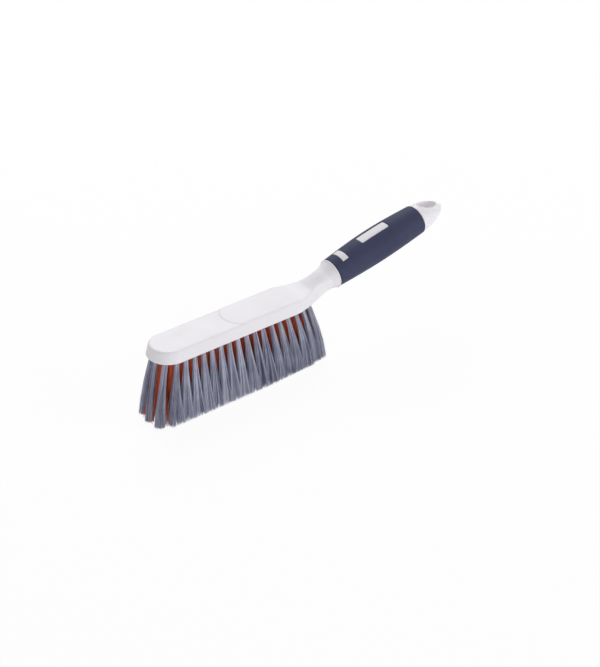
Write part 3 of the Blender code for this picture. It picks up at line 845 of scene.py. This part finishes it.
# %% Sleeve tree
def sleeve_tree():
    """The tree that sweeps the sleeve's wall round the grip and tilts it into place."""
    tree, sizes, result = shape_tree("sweep sleeve", {
        "Length": ("Float", GRIP_LENGTH), "End Gap": ("Float", CLEARANCE),
        "Wall": ("Float", SLEEVE_WALL), "Edge Round": ("Float", SLEEVE_EDGE),
        "Front Radius": ("Float", GRIP_FRONT_RADIUS), "Rear Radius": ("Float", GRIP_REAR_RADIUS),
        "Swell": ("Float", GRIP_SWELL), "Bow": ("Float", GRIP_BOW), "Tilt": ("Float", GRIP_TILT),
        "Front": ("Vector", tuple(GRIP_FRONT)), "Rows": ("Int", 50), "Sides": ("Int", 96),
        "Material": ("Material", None)})
    swept = put(tree, "GeometryNodeCurveToMesh", {
        "Curve": round_path(tree, sizes), "Profile Curve": wall_section(tree, sizes)})
    tube = put(tree, "GeometryNodeSetPosition", {
        "Geometry": swept, "Position": wall_place(tree, sizes)})
    lean = vector_of(tree, Y=maths(tree, "MULTIPLY", sizes["Tilt"], -1.0))
    tube = put(tree, "GeometryNodeTransform", {
        "Geometry": tube, "Translation": sizes["Front"], "Rotation": lean})
    finish_tree(tree, tube, sizes["Material"], result)
    return tree


sweep_sleeve = sleeve_tree()
print("sleeve tree:", len(sweep_sleeve.nodes), "nodes")

# %% [markdown]
# ## Growing and cutting the sleeve
# The tree needs a carrier object, and an empty mesh will do. The sleeve's inside is the wall's
# other face, one clearance off the core, so the wall that the tree is given is that much thinner.
# The windows for the two pads are cut afterwards with the round-mouthed cutters.

# %% Sleeve
sleeve = add_object("grip_sleeve_skin", bpy.data.meshes.new("grip_sleeve_skin"))
grow(sleeve, sweep_sleeve, {"Wall": SLEEVE_WALL - CLEARANCE})
face_out(sleeve)
take_out(sleeve, *[window_cutter(window) for window in WINDOWS.values()])
print("sleeve:", len(sleeve.data.polygons), "faces")

# %% [markdown]
# ## How the tufts lean and open
# The rows fan forwards at the front and backwards near the handle. Each tuft is described by its
# root, by how far its tip stands from its root, and by how wide it has opened there: half its
# length, half its depth, and how square it is, from 0 for a disc to 1 for a square.

# %% Lean and opening
REAR_FAN_POWER = 1.3
REAR_FROM, REAR_OVER, REAR_DEPTH_SHARE, REAR_SQUARE = 0.080, 0.045, 0.65, 0.8
OPEN_WIDER, FIRST_WIDER, FIRST_FORWARD, FAR_CORNER_SHARE = 1.08, 0.04, 0.0008, 0.5


def fan_along(x):
    """How far a tuft's tip stands along the brush from its root."""
    if x < FAN_NEUTRAL:
        return -FRONT_FAN * (FAN_NEUTRAL - x) / (FAN_NEUTRAL + RING_HALF_WIDTH)
    return REAR_FAN * ((x - FAN_NEUTRAL) / (REAR_TUFT - FAN_NEUTRAL)) ** REAR_FAN_POWER


def side_tip(x, y, reach_in, half_depth):
    """Lean and opening of a tuft in a long row, spread inwards so that the rows' tips meet."""
    half = TUFT_PITCH / 2
    room = (TUFT_PITCH + fan_along(x + half) - fan_along(x - half)) / 2
    inward = math.copysign(reach_in, y) if y else 0
    first, rear = 1 - ease(x / TUFT_PITCH), ease((x - REAR_FROM) / REAR_OVER)
    lean = (fan_along(x) - FIRST_FORWARD * first, SIDE_FAN * y / RING_HALF_WIDTH - inward, 0)
    depth = (half_depth + reach_in) * mix(1, REAR_DEPTH_SHARE, rear)
    return lean, (room * (OPEN_WIDER + FIRST_WIDER * first), depth, mix(1, REAR_SQUARE, rear))


def arc_tip(x, y, further, half):
    """Lean and opening of a tuft in a round end, with more lean for the front's two corners
    and for the rear's middle."""
    corner = abs(y) / RING_HALF_WIDTH * (1.0 if y < 0 else FAR_CORNER_SHARE)
    more = further * (corner if x < 0 else y == 0)
    return (fan_along(x) + more, SIDE_FAN * y / RING_HALF_WIDTH, 0), (half, half, 0)


print("tips of the last tuft stand back by", round(fan_along(REAR_TUFT), 4))

# %% [markdown]
# ## Where the tufts stand
# There are two long rows, three tufts round each end and one orange row down the middle. The
# first orange tuft reaches forward and out to the sides, where orange shows right down at the
# tips. No two tufts are set quite alike, so a fixed chance changes each one's lean and opening a
# little: a row of equal tufts looks like a comb.

# %% Tuft rows
TIPS_REACH_IN, MIDDLE_HALF_DEPTH = 0.0020, 0.0092
FRONT_CORNER_LEAN, FRONT_OPENINGS = -0.0042, (0.0049, 0.0040, 0.0040)
REAR_MIDDLE_LEAN, REAR_OPENING = -0.0045, 0.0056
FIRST_ORANGE_LEAN, FIRST_ORANGE_OPENING = -0.0030, (0.0082, 0.0198, 0.1)
UNEVEN_LEAN, UNEVEN_OPENING = 0.0008, (1.12, 1.24)


def uneven(tufts, seed):
    """Let each tuft lean and open a little differently, as hand-set tufts do."""
    draw = random.Random(seed)
    changed = []
    for root, lean, opening in tufts:
        lean = (lean[0] + draw.uniform(-UNEVEN_LEAN, UNEVEN_LEAN), lean[1], 0)
        changed.append((root, lean, (opening[0] * draw.uniform(*UNEVEN_OPENING), *opening[1:])))
    return changed


def tuft_rows():
    """Every tuft by its row, as root, lean and opening."""
    rows = {"near": [], "far": [], "ends": [], "middle": []}
    for x in [index * TUFT_PITCH for index in range(SIDE_TUFTS)]:
        for name, side in (("near", -1), ("far", 1)):
            y = side * (sole_half_width(x) - EDGE_TO_BORE)
            rows[name].append(((x, y), *side_tip(x, y, TIPS_REACH_IN, TIP_HALF_DEPTH)))
    rear_width = sole_half_width(TUFT_ROW) - EDGE_TO_BORE
    for index, front_opening in enumerate(FRONT_OPENINGS):
        turn = math.pi / 4 * (index - 1)
        x, y = RING_HALF_WIDTH * math.cos(turn), math.sin(turn)
        front, rear = (-x, y * RING_HALF_WIDTH), (TUFT_ROW + x, y * rear_width)
        rows["ends"].append((front, *arc_tip(*front, FRONT_CORNER_LEAN, front_opening)))
        rows["ends"].append((rear, *arc_tip(*rear, REAR_MIDDLE_LEAN, REAR_OPENING)))
    for x in [(index - 0.5) * TUFT_PITCH for index in range(SIDE_TUFTS + 1)]:
        rows["middle"].append(((x, 0), *side_tip(x, 0, 0, MIDDLE_HALF_DEPTH)))
    root = rows["middle"][0][0]
    lean = (fan_along(root[0]) + FIRST_ORANGE_LEAN, 0, 0)
    rows["middle"][0] = (root, lean, FIRST_ORANGE_OPENING)
    for seed, name in enumerate(["near", "far", "middle"]):
        rows[name] = uneven(rows[name], seed)
    return rows


def tuft_cloud(name, tufts):
    """A mesh of loose points, one for each tuft, with its lean and its opening on it."""
    mesh = bpy.data.meshes.new(name)
    mesh.from_pydata([(*root, -BLOCK_PROUD) for root, _, _ in tufts], [], [])
    for label, place in (("lean", 1), ("opening", 2)):
        attribute = mesh.attributes.new(label, "FLOAT_VECTOR", "POINT")
        for index, tuft in enumerate(tufts):
            attribute.data[index].vector = tuft[place]
    return add_object(name, mesh)


rows = tuft_rows()
print("tufts in each row:", {name: len(tufts) for name, tufts in rows.items()})

# %% [markdown]
# ## The tuft block
# The block is a plate with a round blind bore for each tuft. Bores repeat, so a tree makes them:
# it sets a cylinder on every tuft point, realises them and takes them out of the plate with a
# Mesh Boolean node. They are drilled a little tighter than in the engineering model, because
# the real filaments fill them.

# %% Block and its bores
BLOCK_ROUND, ROUND_MIDDLE, DRILLED_RADIUS = 0.0003, 0.3, 0.0023


def bore_tree():
    """The tree that drills a blind bore at every tuft point."""
    tree, sizes, result = shape_tree("drill bores", {
        "Tufts": ("Object", None), "Bore Radius": ("Float", BORE_RADIUS),
        "Bore Depth": ("Float", BLOCK_THICKNESS - BORE_FLOOR), "Sides": ("Int", 28),
        "Material": ("Material", None)})
    points = add_node(tree, "GeometryNodeObjectInfo", {"Object": sizes["Tufts"]})
    drill = put(tree, "GeometryNodeMeshCylinder", {
        "Vertices": sizes["Sides"], "Radius": sizes["Bore Radius"],
        "Depth": maths(tree, "MULTIPLY", sizes["Bore Depth"], 2.0)})
    drills = put(tree, "GeometryNodeInstanceOnPoints", {
        "Points": points.outputs["Geometry"], "Instance": drill})
    loose = put(tree, "GeometryNodeRealizeInstances", {"Geometry": drills})
    cut = put(tree, "GeometryNodeMeshBoolean", {
        "Mesh 1": sizes["Geometry"], "Mesh 2": loose}, operation="DIFFERENCE")
    finish_tree(tree, cut, sizes["Material"], result)
    return tree


edge_steps = [(BLOCK_ROUND, 0), (BLOCK_ROUND * ROUND_MIDDLE, BLOCK_ROUND * ROUND_MIDDLE),
              (0, BLOCK_ROUND), (0, BLOCK_THICKNESS)]
block = plate("tuft_block_drilled", [
    (SHELL_WALL + CLEARANCE + inset, BLOCK_END - inset, height - BLOCK_PROUD)
    for inset, height in edge_steps])
print("block before drilling:", len(block.data.polygons), "faces")

# %% [markdown]
# ## A place for every filament
# Each tuft is a bundle of filaments folded over a staple. One tree grows them all. It first
# copies each tuft point many times and gives every copy its own place in the bundle, on a
# sunflower spiral, which packs a disc evenly. Neighbours share a tone, because filaments stick
# together in small locks, so the shade comes mostly from a noise over the bundle. That noise is
# partly painted light: its wide range paints bright highlight streaks and dark shadow lines.

# %% Filament places
GOLDEN_TURN, TURN_CHANCE, WANDER_ALONG, WANDER_ACROSS = 2.39996, 0.25, 1, 0.6
LOCK_AND_PAINTED_STREAK_GAP, LOCK_AND_PAINTED_STREAK_SCALE, LOCK_AND_PAINTED_STREAK_DETAIL, LOCK_AND_PAINTED_STREAK_LOW, LOCK_AND_PAINTED_STREAK_HIGH, LOCK_AND_PAINTED_STREAK_SHARE = 7.3, 3.2, 2.0, 0.41, 0.59, 0.8


def filament_points(tree, sizes):
    """One point for each filament, with its place, stray, shade and shortness stored on it."""
    calc, keep = partial(maths, tree), partial(store, tree)
    copies = add_node(tree, "GeometryNodeDuplicateElements", {
        "Geometry": sizes["Geometry"], "Amount": sizes["Filaments"]}, domain="POINT")
    order = copies.outputs["Duplicate Index"]
    number = put(tree, "GeometryNodeInputIndex")

    def chance(low, high, seed):
        """A fixed random number for each filament."""
        return add_node(tree, "FunctionNodeRandomValue", {
            2: low, 3: high, "ID": number, "Seed": calc("ADD", sizes["Seed"], seed)},
            data_type="FLOAT").outputs[1]

    reach = calc("POWER", calc("DIVIDE", calc("ADD", order, 0.5), sizes["Filaments"]), 0.5)
    turn = calc("ADD", calc("MULTIPLY", order, GOLDEN_TURN), chance(-TURN_CHANCE, TURN_CHANCE, 1))
    disc = vector_of(tree, X=calc("MULTIPLY", reach, calc("COSINE", turn)),
                     Y=calc("MULTIPLY", reach, calc("SINE", turn)))
    wander = vector_of(tree, X=calc("POWER", chance(-WANDER_ALONG, WANDER_ALONG, 2), 3.0),
                       Y=calc("POWER", chance(-WANDER_ACROSS, WANDER_ACROSS, 3), 3.0))
    tuft = calc("FLOOR", calc("DIVIDE", number, sizes["Filaments"]))
    spot = vector_maths(tree, "ADD", disc, vector_of(tree, Z=calc("MULTIPLY", tuft, LOCK_AND_PAINTED_STREAK_GAP)))
    # The lock noise is partly painted light: its range paints bright highlight streaks and dark
    # shadow lines into the tone.
    lock_tone_and_painted_streaks = remap(tree, noise(tree, spot, LOCK_AND_PAINTED_STREAK_SCALE, LOCK_AND_PAINTED_STREAK_DETAIL), LOCK_AND_PAINTED_STREAK_LOW, LOCK_AND_PAINTED_STREAK_HIGH)
    shade = calc("ADD", calc("MULTIPLY", lock_tone_and_painted_streaks, LOCK_AND_PAINTED_STREAK_SHARE),
                 calc("MULTIPLY", chance(0, 1, 4), 1 - LOCK_AND_PAINTED_STREAK_SHARE))
    points = keep(copies.outputs["Geometry"], "disc", disc, "FLOAT_VECTOR")
    points = keep(points, "wander", wander, "FLOAT_VECTOR")
    return keep(keep(points, "shade", shade), "short", chance(0, 1, 5))


print("filament places ready")

# %% [markdown]
# ## The curve of a filament
# A filament leans early, close to the root, and its bundle opens late, towards the tips. So a
# tuft leaves the block as a neat stalk and ends as a wide brush. Where the opening is square, the
# disc is pressed into a square in a way that keeps the filaments evenly spread.

# %% Filament curve
LEAN_POWER, OPEN_POWER, STRAY_POWER, SHORT_POWER, PRESS_LIMIT = 1.6, 1.7, 1.5, 2.0, 1.02


def squared_disc(tree, disc):
    """The places in a disc, pressed into a square."""
    calc, packed = partial(maths, tree), parts_of(tree, disc)
    chord = calc("SQRT", calc("SUBTRACT", PRESS_LIMIT, calc("MULTIPLY", packed["X"], packed["X"])))
    even = calc("ADD", calc("MULTIPLY", packed["X"], chord), calc("ARCSINE", packed["X"]))
    return vector_of(tree, X=calc("MULTIPLY", even, 2 / math.pi),
                     Y=calc("DIVIDE", packed["Y"], chord))


def filament_offset(tree, sizes, along):
    """How far a point of a straight unit line moves to lie on its filament."""
    calc, join = partial(maths, tree), partial(vector_maths, tree)
    wander, lean, disc, opening = [read(tree, name, "FLOAT_VECTOR")
                                   for name in ("wander", "lean", "disc", "opening")]

    def scaled(vector, amount):
        """A vector times a number."""
        return put(tree, "ShaderNodeVectorMath", {0: vector, "Scale": amount}, operation="SCALE")

    leaned = calc("SUBTRACT", 1.0, calc("POWER", calc("SUBTRACT", 1.0, along), LEAN_POWER))
    root = vector_of(tree, X=sizes["Root Radius"], Y=sizes["Root Radius"])
    square = parts_of(tree, opening)["Z"]
    pressed = blend(tree, square, disc, squared_disc(tree, disc), "VECTOR")
    spread = blend(tree, calc("POWER", along, OPEN_POWER), join("MULTIPLY", disc, root),
                   join("MULTIPLY", pressed, opening), "VECTOR")
    strayed = scaled(wander, calc("MULTIPLY", calc("POWER", along, STRAY_POWER), sizes["Stray"]))
    moved = join("ADD", join("ADD", spread, strayed), scaled(lean, leaned))
    shorter = calc("MULTIPLY", calc("POWER", read(tree, "short"), SHORT_POWER), sizes["Ragged"])
    whole = calc("ADD", calc("SUBTRACT", sizes["Length"], shorter), sizes["Root Depth"])
    height = calc("SUBTRACT", sizes["Root Depth"], calc("MULTIPLY", along, whole))
    return join("ADD", moved, vector_of(tree, Z=calc("ADD", height, along)))


print("filament curve ready")

# %% [markdown]
# ## Growing a filament
# The tree stands a short line at every filament's place, bends it, and sweeps a three-sided
# profile along it that is a little thinner at the tip. Three sides are enough for something a
# quarter of a millimetre thick, and keep 18,100 filaments light.

# %% Filament tree
LINE_POINTS, TIP_LIFT, ROOT_HALF, TIP_THINNER = 5, 0.0001, 0.55, 0.1


def filament_tree():
    """The tree that grows all the filaments of a cloud of tuft points."""
    tree, sizes, result = shape_tree("grow filaments", {
        "Filaments": ("Int", 300), "Length": ("Float", BRISTLE_LENGTH - BLOCK_PROUD - TIP_LIFT),
        "Root Depth": ("Float", 0.003), "Root Radius": ("Float", 0.0022),
        "Thickness": ("Float", 0.00026), "Stray": ("Float", 0.0014),
        "Ragged": ("Float", 0.00015), "Seed": ("Int", 10), "Material": ("Material", None)})
    node, calc = partial(put, tree), partial(maths, tree)
    line = node("GeometryNodeCurvePrimitiveLine", {"Start": (0, 0, 0), "End": (0, 0, -1)})
    line = node("GeometryNodeResampleCurve", {"Curve": line, "Count": LINE_POINTS})
    lines = node("GeometryNodeInstanceOnPoints", {
        "Points": filament_points(tree, sizes), "Instance": line})
    lines = node("GeometryNodeRealizeInstances", {"Geometry": lines})
    along = node("GeometryNodeSplineParameter")
    bent = node("GeometryNodeSetPosition", {
        "Geometry": lines, "Offset": filament_offset(tree, sizes, along)})
    bent = store(tree, bent, "reach", along)
    taper = calc("SUBTRACT", ROOT_HALF, calc("MULTIPLY", along, TIP_THINNER))
    profile = node("GeometryNodeCurvePrimitiveCircle", {"Resolution": 3, "Radius": 1.0})
    swept = node("GeometryNodeCurveToMesh", {
        "Curve": bent, "Profile Curve": profile,
        "Scale": calc("MULTIPLY", sizes["Thickness"], taper), "Fill Caps": True})
    finish_tree(tree, swept, sizes["Material"], result)
    return tree


filaments = filament_tree()
print("filament tree:", len(filaments.nodes), "nodes")

# %% [markdown]
# ## Shared effects
# Three small shader groups are used by several finishes. Grain is the fine roughness of a
# moulded surface, drift is the slow change of tone across it, and rub is the faint polish and
# scuffing left by hands and water. A group only puts out values that change over the surface;
# every shader stays in its own material.

# %% Shader groups
SCRATCH_SCALE, SCRATCH_TURN = (60.0, 900.0, 700.0), (0.2, 0.1, 0.35)
# The part of a noise's values that each mask is stretched over, and how rough the noise is.
DRIFT_RANGE, WORN_RANGE, SCRATCH_RANGE = (0.32, 0.68), (0.52, 0.70), (0.66, 0.74)
DRIFT_ROUGHNESS, WORN_ROUGHNESS = 0.55, 0.65


def effect(name, inputs, outputs):
    """A shader group with a vector and named numbers going in, and named numbers coming out."""
    numbers = {label: ("Float", value) for label, value in inputs.items()}
    return new_tree(name, "ShaderNodeTree", {"Vector": ("Vector", None)} | numbers,
                    {label: ("Float", None) for label in outputs})


def grain_effect():
    """Fine and coarse grain together, as a height."""
    tree, given, result = effect(
        "grain", {"Scale": 1800.0, "Coarse Scale": 500.0, "Coarse Share": 0.4}, ["Height"])
    fine = noise(tree, given["Vector"], given["Scale"], 2.0)
    coarse = noise(tree, given["Vector"], given["Coarse Scale"], 3.0)
    tree.links.new(blend(tree, given["Coarse Share"], fine, coarse), result.inputs["Height"])
    return tree


def drift_effect():
    """A slow change across the surface, as a mask."""
    tree, given, result = effect("drift", {"Scale": 22.0, "Low": 0.0, "High": 1.0}, ["Mask"])
    slow = noise(tree, given["Vector"], given["Scale"], 4.0, DRIFT_ROUGHNESS)
    mask = remap(tree, slow, *DRIFT_RANGE, given["Low"], given["High"])
    tree.links.new(mask, result.inputs["Mask"])
    return tree


def rub_effect():
    """Worn patches as a mask, and the fine scratches that lie inside them."""
    tree, given, result = effect("rub", {"Scale": 90.0, "Amount": 0.5}, ["Mask", "Scratches"])
    patch = noise(tree, given["Vector"], given["Scale"], 5.0, WORN_ROUGHNESS)
    worn = remap(tree, patch, *WORN_RANGE, 0.0, given["Amount"])
    stretched = put(tree, "ShaderNodeMapping", {
        "Vector": given["Vector"], "Scale": SCRATCH_SCALE, "Rotation": SCRATCH_TURN})
    lines = remap(tree, noise(tree, stretched, 1.0, 1.0), *SCRATCH_RANGE)
    tree.links.new(worn, result.inputs["Mask"])
    tree.links.new(maths(tree, "MULTIPLY", lines, worn), result.inputs["Scratches"])
    return tree


EFFECTS = {"grain": grain_effect(), "drift": drift_effect(), "rub": rub_effect()}
print("shared effects:", sorted(EFFECTS))

# %% [markdown]
# ## Moulded finishes
# White polypropylene is a bright, slightly cool plastic with a satin skin. The block is the same
# plastic, a tone duller. The pads are the same plastic as well, and their duller tone is painted
# shade, as they sit lower in the light. The sleeve is a matt rubber with a fine grain. All four
# share one recipe: two close tones mixed by the drift, roughness that follows drift and rub, and
# grain and scratches in the bump. The rubber's shine is set low, or the lamps would grey it.

# %% Moulded materials
DRIFT_SCALE, RUB_SCALE, RUB_AMOUNT, RUB_ROUGHENS, SCRATCH_DEPTH = 22.0, 95.0, 0.6, 0.12, 0.8
BUMP_HEIGHT = 0.0001


def use_effect(tree, name, vector, **values):
    """Place a shared effect in a material with its own values."""
    made = tree.nodes.new("ShaderNodeGroup")
    made.node_tree = EFFECTS[name]
    tree.links.new(vector, made.inputs["Vector"])
    for label, value in values.items():
        made.inputs[label.replace("_", " ")].default_value = value
    return made.outputs


def new_material(name, **constants):
    """A material with its Principled shader, whose even values are set on its own sockets."""
    material = bpy.data.materials.new(name)
    material.use_nodes = True
    shader = material.node_tree.nodes["Principled BSDF"]
    for label, value in constants.items():
        shader.inputs[label.replace("_", " ")].default_value = value
    return material, material.node_tree, shader


def feed(tree, shader, colour, roughness, height, strength, distance):
    """Link a colour, a roughness and a bump to a shader."""
    bump = put(tree, "ShaderNodeBump", {"Height": height, "Strength": strength,
                                        "Distance": distance})
    for label, value in (("Base Color", colour), ("Roughness", roughness),
                         ("Normal", bump)):
        tree.links.new(value, shader.inputs[label])


def moulded(name, light, dark, roughness, grain, bump, shine):
    """A moulded finish from its two tones, its range of roughness, its grain and its shine."""
    material, tree, shader = new_material(name, Specular_IOR_Level=shine)
    place = add_node(tree, "ShaderNodeTexCoord").outputs["Object"]
    drift = use_effect(tree, "drift", place, Scale=DRIFT_SCALE)["Mask"]
    rub = use_effect(tree, "rub", place, Scale=RUB_SCALE, Amount=RUB_AMOUNT)
    skin_height = use_effect(tree, "grain", place, Scale=grain, Coarse_Scale=grain / 4)["Height"]
    scratched = maths(tree, "MULTIPLY", rub["Scratches"], SCRATCH_DEPTH)
    rough = maths(tree, "ADD", remap(tree, drift, 0, 1, *roughness),
                  maths(tree, "MULTIPLY", rub["Mask"], RUB_ROUGHENS))
    feed(tree, shader, blend(tree, drift, light, dark, "RGBA"), rough,
         maths(tree, "SUBTRACT", skin_height, scratched), bump, BUMP_HEIGHT)
    return material


MOULDED = {  # light tone, dark tone, roughness, grain, bump, shine
    "white_plastic": ((0.85, 0.83, 0.865, 1), (0.825, 0.805, 0.84, 1), (0.42, 0.50),
                      1500.0, 0.10, 0.32),
    # The pads' tones are the white plastic's, darkened: painted shade, as the pads sit lower in the
    # light.
    "pad_plastic": ((0.76, 0.745, 0.775, 1), (0.72, 0.705, 0.735, 1), (0.46, 0.54),
                    1500.0, 0.15, 0.32),
    "block_plastic": ((0.76, 0.75, 0.765, 1), (0.70, 0.69, 0.705, 1), (0.42, 0.52),
                      1300.0, 0.15, 0.5),
    "navy_rubber": ((0.0540, 0.0595, 0.1110, 1), (0.0490, 0.0540, 0.1010, 1), (0.48, 0.58),
                    1700.0, 0.25, 0.07),
}
finishes = {name: moulded(name, *values) for name, values in MOULDED.items()}
print("moulded finishes:", sorted(finishes))

# %% [markdown]
# ## Filament finishes
# The grey tufts are a slate-blue nylon and the middle row is a burnt orange one. No two filaments
# take dye quite alike, so each one reads its own stored shade, and its tip is a little paler where
# it is worn. The spread from deep to pale tone is wider than the dye's: it is partly painted
# light, bright highlight streaks and dark shadow lines, and the grey's deep tone is a painted
# shadow blue.

# %% Filament materials
FILAMENT_TONES = {  # deep tone with painted shadow, pale tone with painted highlight, worn tip
    # The grey's deep tone is a painted shadow blue and its pale tone a painted highlight, beside
    # the dye's own spread.
    "grey_filament": ((0.070, 0.074, 0.180, 1), (0.82, 0.84, 1.0, 1), (0.80, 0.82, 0.97, 1)),
    "orange_filament": ((0.76, 0.13, 0.055, 1), (1.0, 0.24, 0.095, 1), (1.0, 0.27, 0.13, 1)),
}
SHADE_SHARE, WORN_FROM, WORN_MOST, SMOOTHEST, ROUGHEST = 0.75, 0.90, 0.15, 0.34, 0.50
STAIN_SCALE, FINE_GRAIN, FINE_BUMP, FINE_BUMP_HEIGHT = 60.0, 2500.0, 0.1, 0.00005


def filament_finish(name, deep_and_painted_shadow, pale_and_painted_highlight, tip):
    """A filament's finish, from its stored shade and its place along the filament."""
    material, tree, shader = new_material(name)
    shade, reach = [add_node(tree, "ShaderNodeAttribute", attribute_name=name).outputs["Fac"]
                    for name in ("shade", "reach")]
    place = add_node(tree, "ShaderNodeTexCoord").outputs["Object"]
    drift = use_effect(tree, "drift", place, Scale=STAIN_SCALE)["Mask"]
    tone = maths(tree, "ADD", maths(tree, "MULTIPLY", shade, SHADE_SHARE),
                 maths(tree, "MULTIPLY", drift, 1 - SHADE_SHARE))
    # Deep to pale by the stored shade: partly the dye's own spread, partly painted highlight
    # streaks and shadow lines.
    dye_and_painted_streaks = blend(tree, tone, deep_and_painted_shadow, pale_and_painted_highlight, "RGBA")
    worn = remap(tree, reach, WORN_FROM, 1.0, 0.0, WORN_MOST)
    feed(tree, shader, blend(tree, worn, dye_and_painted_streaks, tip, "RGBA"),
         remap(tree, shade, 0, 1, SMOOTHEST, ROUGHEST),
         use_effect(tree, "grain", place, Scale=FINE_GRAIN)["Height"],
         FINE_BUMP, FINE_BUMP_HEIGHT)
    return material


finishes.update({name: filament_finish(name, *tones) for name, tones in FILAMENT_TONES.items()})
print("all finishes:", sorted(finishes))

# %% [markdown]
# ## Growing the block and the bristles
# Each tree now runs on its own carrier with its own sizes. The grey tufts are grown in three
# bodies, the near row, the far row and the two ends, which keeps each body light enough to save
# and lets a reader hide one. The near row, which is seen from closest, is the fullest.

# %% Grow them
BRISTLES = {  # row, filaments in a tuft, radius of a tuft at its root
    "grey_bristles_near": ("near", 400, 0.0016), "grey_bristles_far": ("far", 300, 0.0016),
    "grey_bristles_ends": ("ends", 300, 0.0022), "orange_bristles": ("middle", 300, 0.0022),
}
FIRST_SEED = 10

drill_points = tuft_cloud("drill_points", [tuft for row in rows.values() for tuft in row])
grow(block, bore_tree(), {"Tufts": drill_points, "Bore Radius": DRILLED_RADIUS,
                          "Material": finishes["block_plastic"]})
bpy.data.objects.remove(drill_points)
face_out(block)

bristles = {}
for seed, (name, (row, count, radius)) in enumerate(BRISTLES.items(), FIRST_SEED):
    finish = finishes["orange_filament" if row == "middle" else "grey_filament"]
    bristles[name] = grow(tuft_cloud(name, rows[row]), filaments, {
        "Filaments": count, "Root Radius": radius, "Seed": seed, "Material": finish})
    print(name, len(bristles[name].data.polygons), "faces")

# %% [markdown]
# ## Finishes on the moulded pieces
# On the real brush the pads are parts of the moulding, but they sit lower in the light and read
# a tone darker, so they have a finish of their own: the white plastic with painted shade.

# %% Put the finishes on
finished = [(moulding, "white_plastic"), (sleeve, "navy_rubber"), (block, "block_plastic")]
finished += [(pad_piece, "pad_plastic") for pad_piece in pads]
for piece, name in finished:
    piece.data.materials.clear()
    piece.data.materials.append(finishes[name])
print("moulded pieces with a finish:", len(finished))

# %% [markdown]
# ## Into the loaded frame
# Everything so far was measured from the head. One shift of the points carries each piece to its
# place on the engineering model, and each finished skin then stands for the plain solids that it
# is a finer copy of.

# %% Shift, ride and replace
for piece in [moulding, sleeve, block, *pads, *bristles.values()]:
    piece.data.transform(Matrix.Translation(SHIFT))
    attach(piece, "root")


def nodes_of(*starts):
    """The engineering model's nodes whose names begin in one of these ways."""
    return [name for name in frame["nodes"] if name.startswith(starts)]


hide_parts("handle_moulding")
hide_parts("grip_sleeve")
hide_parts("tuft_block")
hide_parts(*nodes_of("grey_tuft_near_"))
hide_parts(*nodes_of("grey_tuft_far_"))
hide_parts(*nodes_of("grey_tuft_front_", "grey_tuft_rear_"))
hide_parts(*nodes_of("orange_tuft"))
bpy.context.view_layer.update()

# %% [markdown]
# ## Floor and surroundings
# The picture is a cut-out on white, so the floor is white, and camera rays see it lifted nearly
# all the way to pure white: it stays clean but keeps a trace of the brush's own soft shadow.
# The surroundings are an even white that shows at full strength in the picture and in
# reflections, and lights the brush at less than half of it.

# %% Floor and world
FLOOR_HALF, FLOOR_WHITE, FLOOR_GLOW, WORLD_LIGHT = 6, 0.96, 0.94, 0.38


def glow_for_rays(tree, share):
    """A mask that is the given share for camera, glossy and transmission rays."""
    rays = add_node(tree, "ShaderNodeLightPath").outputs
    mirrored = maths(tree, "MAXIMUM", rays["Is Glossy Ray"], rays["Is Transmission Ray"])
    seen = maths(tree, "MAXIMUM", rays["Is Camera Ray"], mirrored)
    return maths(tree, "MULTIPLY", seen, share)


floor_mesh = bpy.data.meshes.new("floor")
corners = [(x * FLOOR_HALF, y * FLOOR_HALF, 0) for x, y in ((-1, -1), (1, -1), (1, 1), (-1, 1))]
floor_mesh.from_pydata(corners, [], [(0, 1, 2, 3)])
floor = add_object("floor", floor_mesh)
floor_material, floor_tree, floor_shader = new_material(
    "floor_white", Base_Color=(FLOOR_WHITE, FLOOR_WHITE, FLOOR_WHITE, 1), Roughness=0.9,
    Specular_IOR_Level=0.0)
glow = put(floor_tree, "ShaderNodeEmission", {"Color": (1, 1, 1, 1), "Strength": 1.0})
lifted = put(floor_tree, "ShaderNodeMixShader", {
    0: glow_for_rays(floor_tree, FLOOR_GLOW), 1: floor_shader.outputs["BSDF"],
    2: glow})
floor_tree.links.new(lifted, floor_tree.nodes["Material Output"].inputs["Surface"])
floor_mesh.materials.append(floor_material)

world = bpy.data.worlds.new("white surroundings")
world.use_nodes = True
bpy.context.scene.world = world
world_light = world.node_tree.nodes["Background"]
world_light.inputs["Color"].default_value = (1, 1, 1, 1)
strength = blend(world.node_tree, glow_for_rays(world.node_tree, 1.0), WORLD_LIGHT, 1.0)
world.node_tree.links.new(strength, world_light.inputs["Strength"])
print("floor and surroundings ready")

# %% [markdown]
# ## Lamps
# Four soft lamps light the brush. The key lamp and a low wide one stand to the right of the
# camera and give each tuft its light right side and dark left side. A weaker one on the left
# keeps the head's front from falling dark, and the one behind, above, lights the head's top.

# %% Lamps
LAMPS = {  # place, the point it looks at, width, height, power
    "key_lamp": ((1.8, -2.0, 1.7), (0, 0, 0.05), 1.6, 1.0, 10.5),
    "low_lamp": ((1.4, -2.4, 0.32), (0, 0, 0.06), 2.0, 0.5, 20.5),
    "fill_lamp": ((-2.5, -2.4, 0.8), (0, 0, 0.05), 1.8, 1.4, 22.0),
    "back_lamp": ((1.0, 1.8, 2.2), (0, 0, 0.05), 1.6, 1.6, 51.0),
}
for name, (place, aim, width, height, power) in LAMPS.items():
    light = bpy.data.lights.new(name, "AREA")
    light.shape, light.size, light.size_y, light.energy = "RECTANGLE", width, height, power
    look = (Vector(place) - Vector(aim)).to_track_quat("Z", "Y").to_matrix().to_4x4()
    add_object(name, light).matrix_world = Matrix.Translation(place) @ look
bpy.context.scene.view_settings.view_transform = "Standard"
print("lamps:", list(LAMPS))
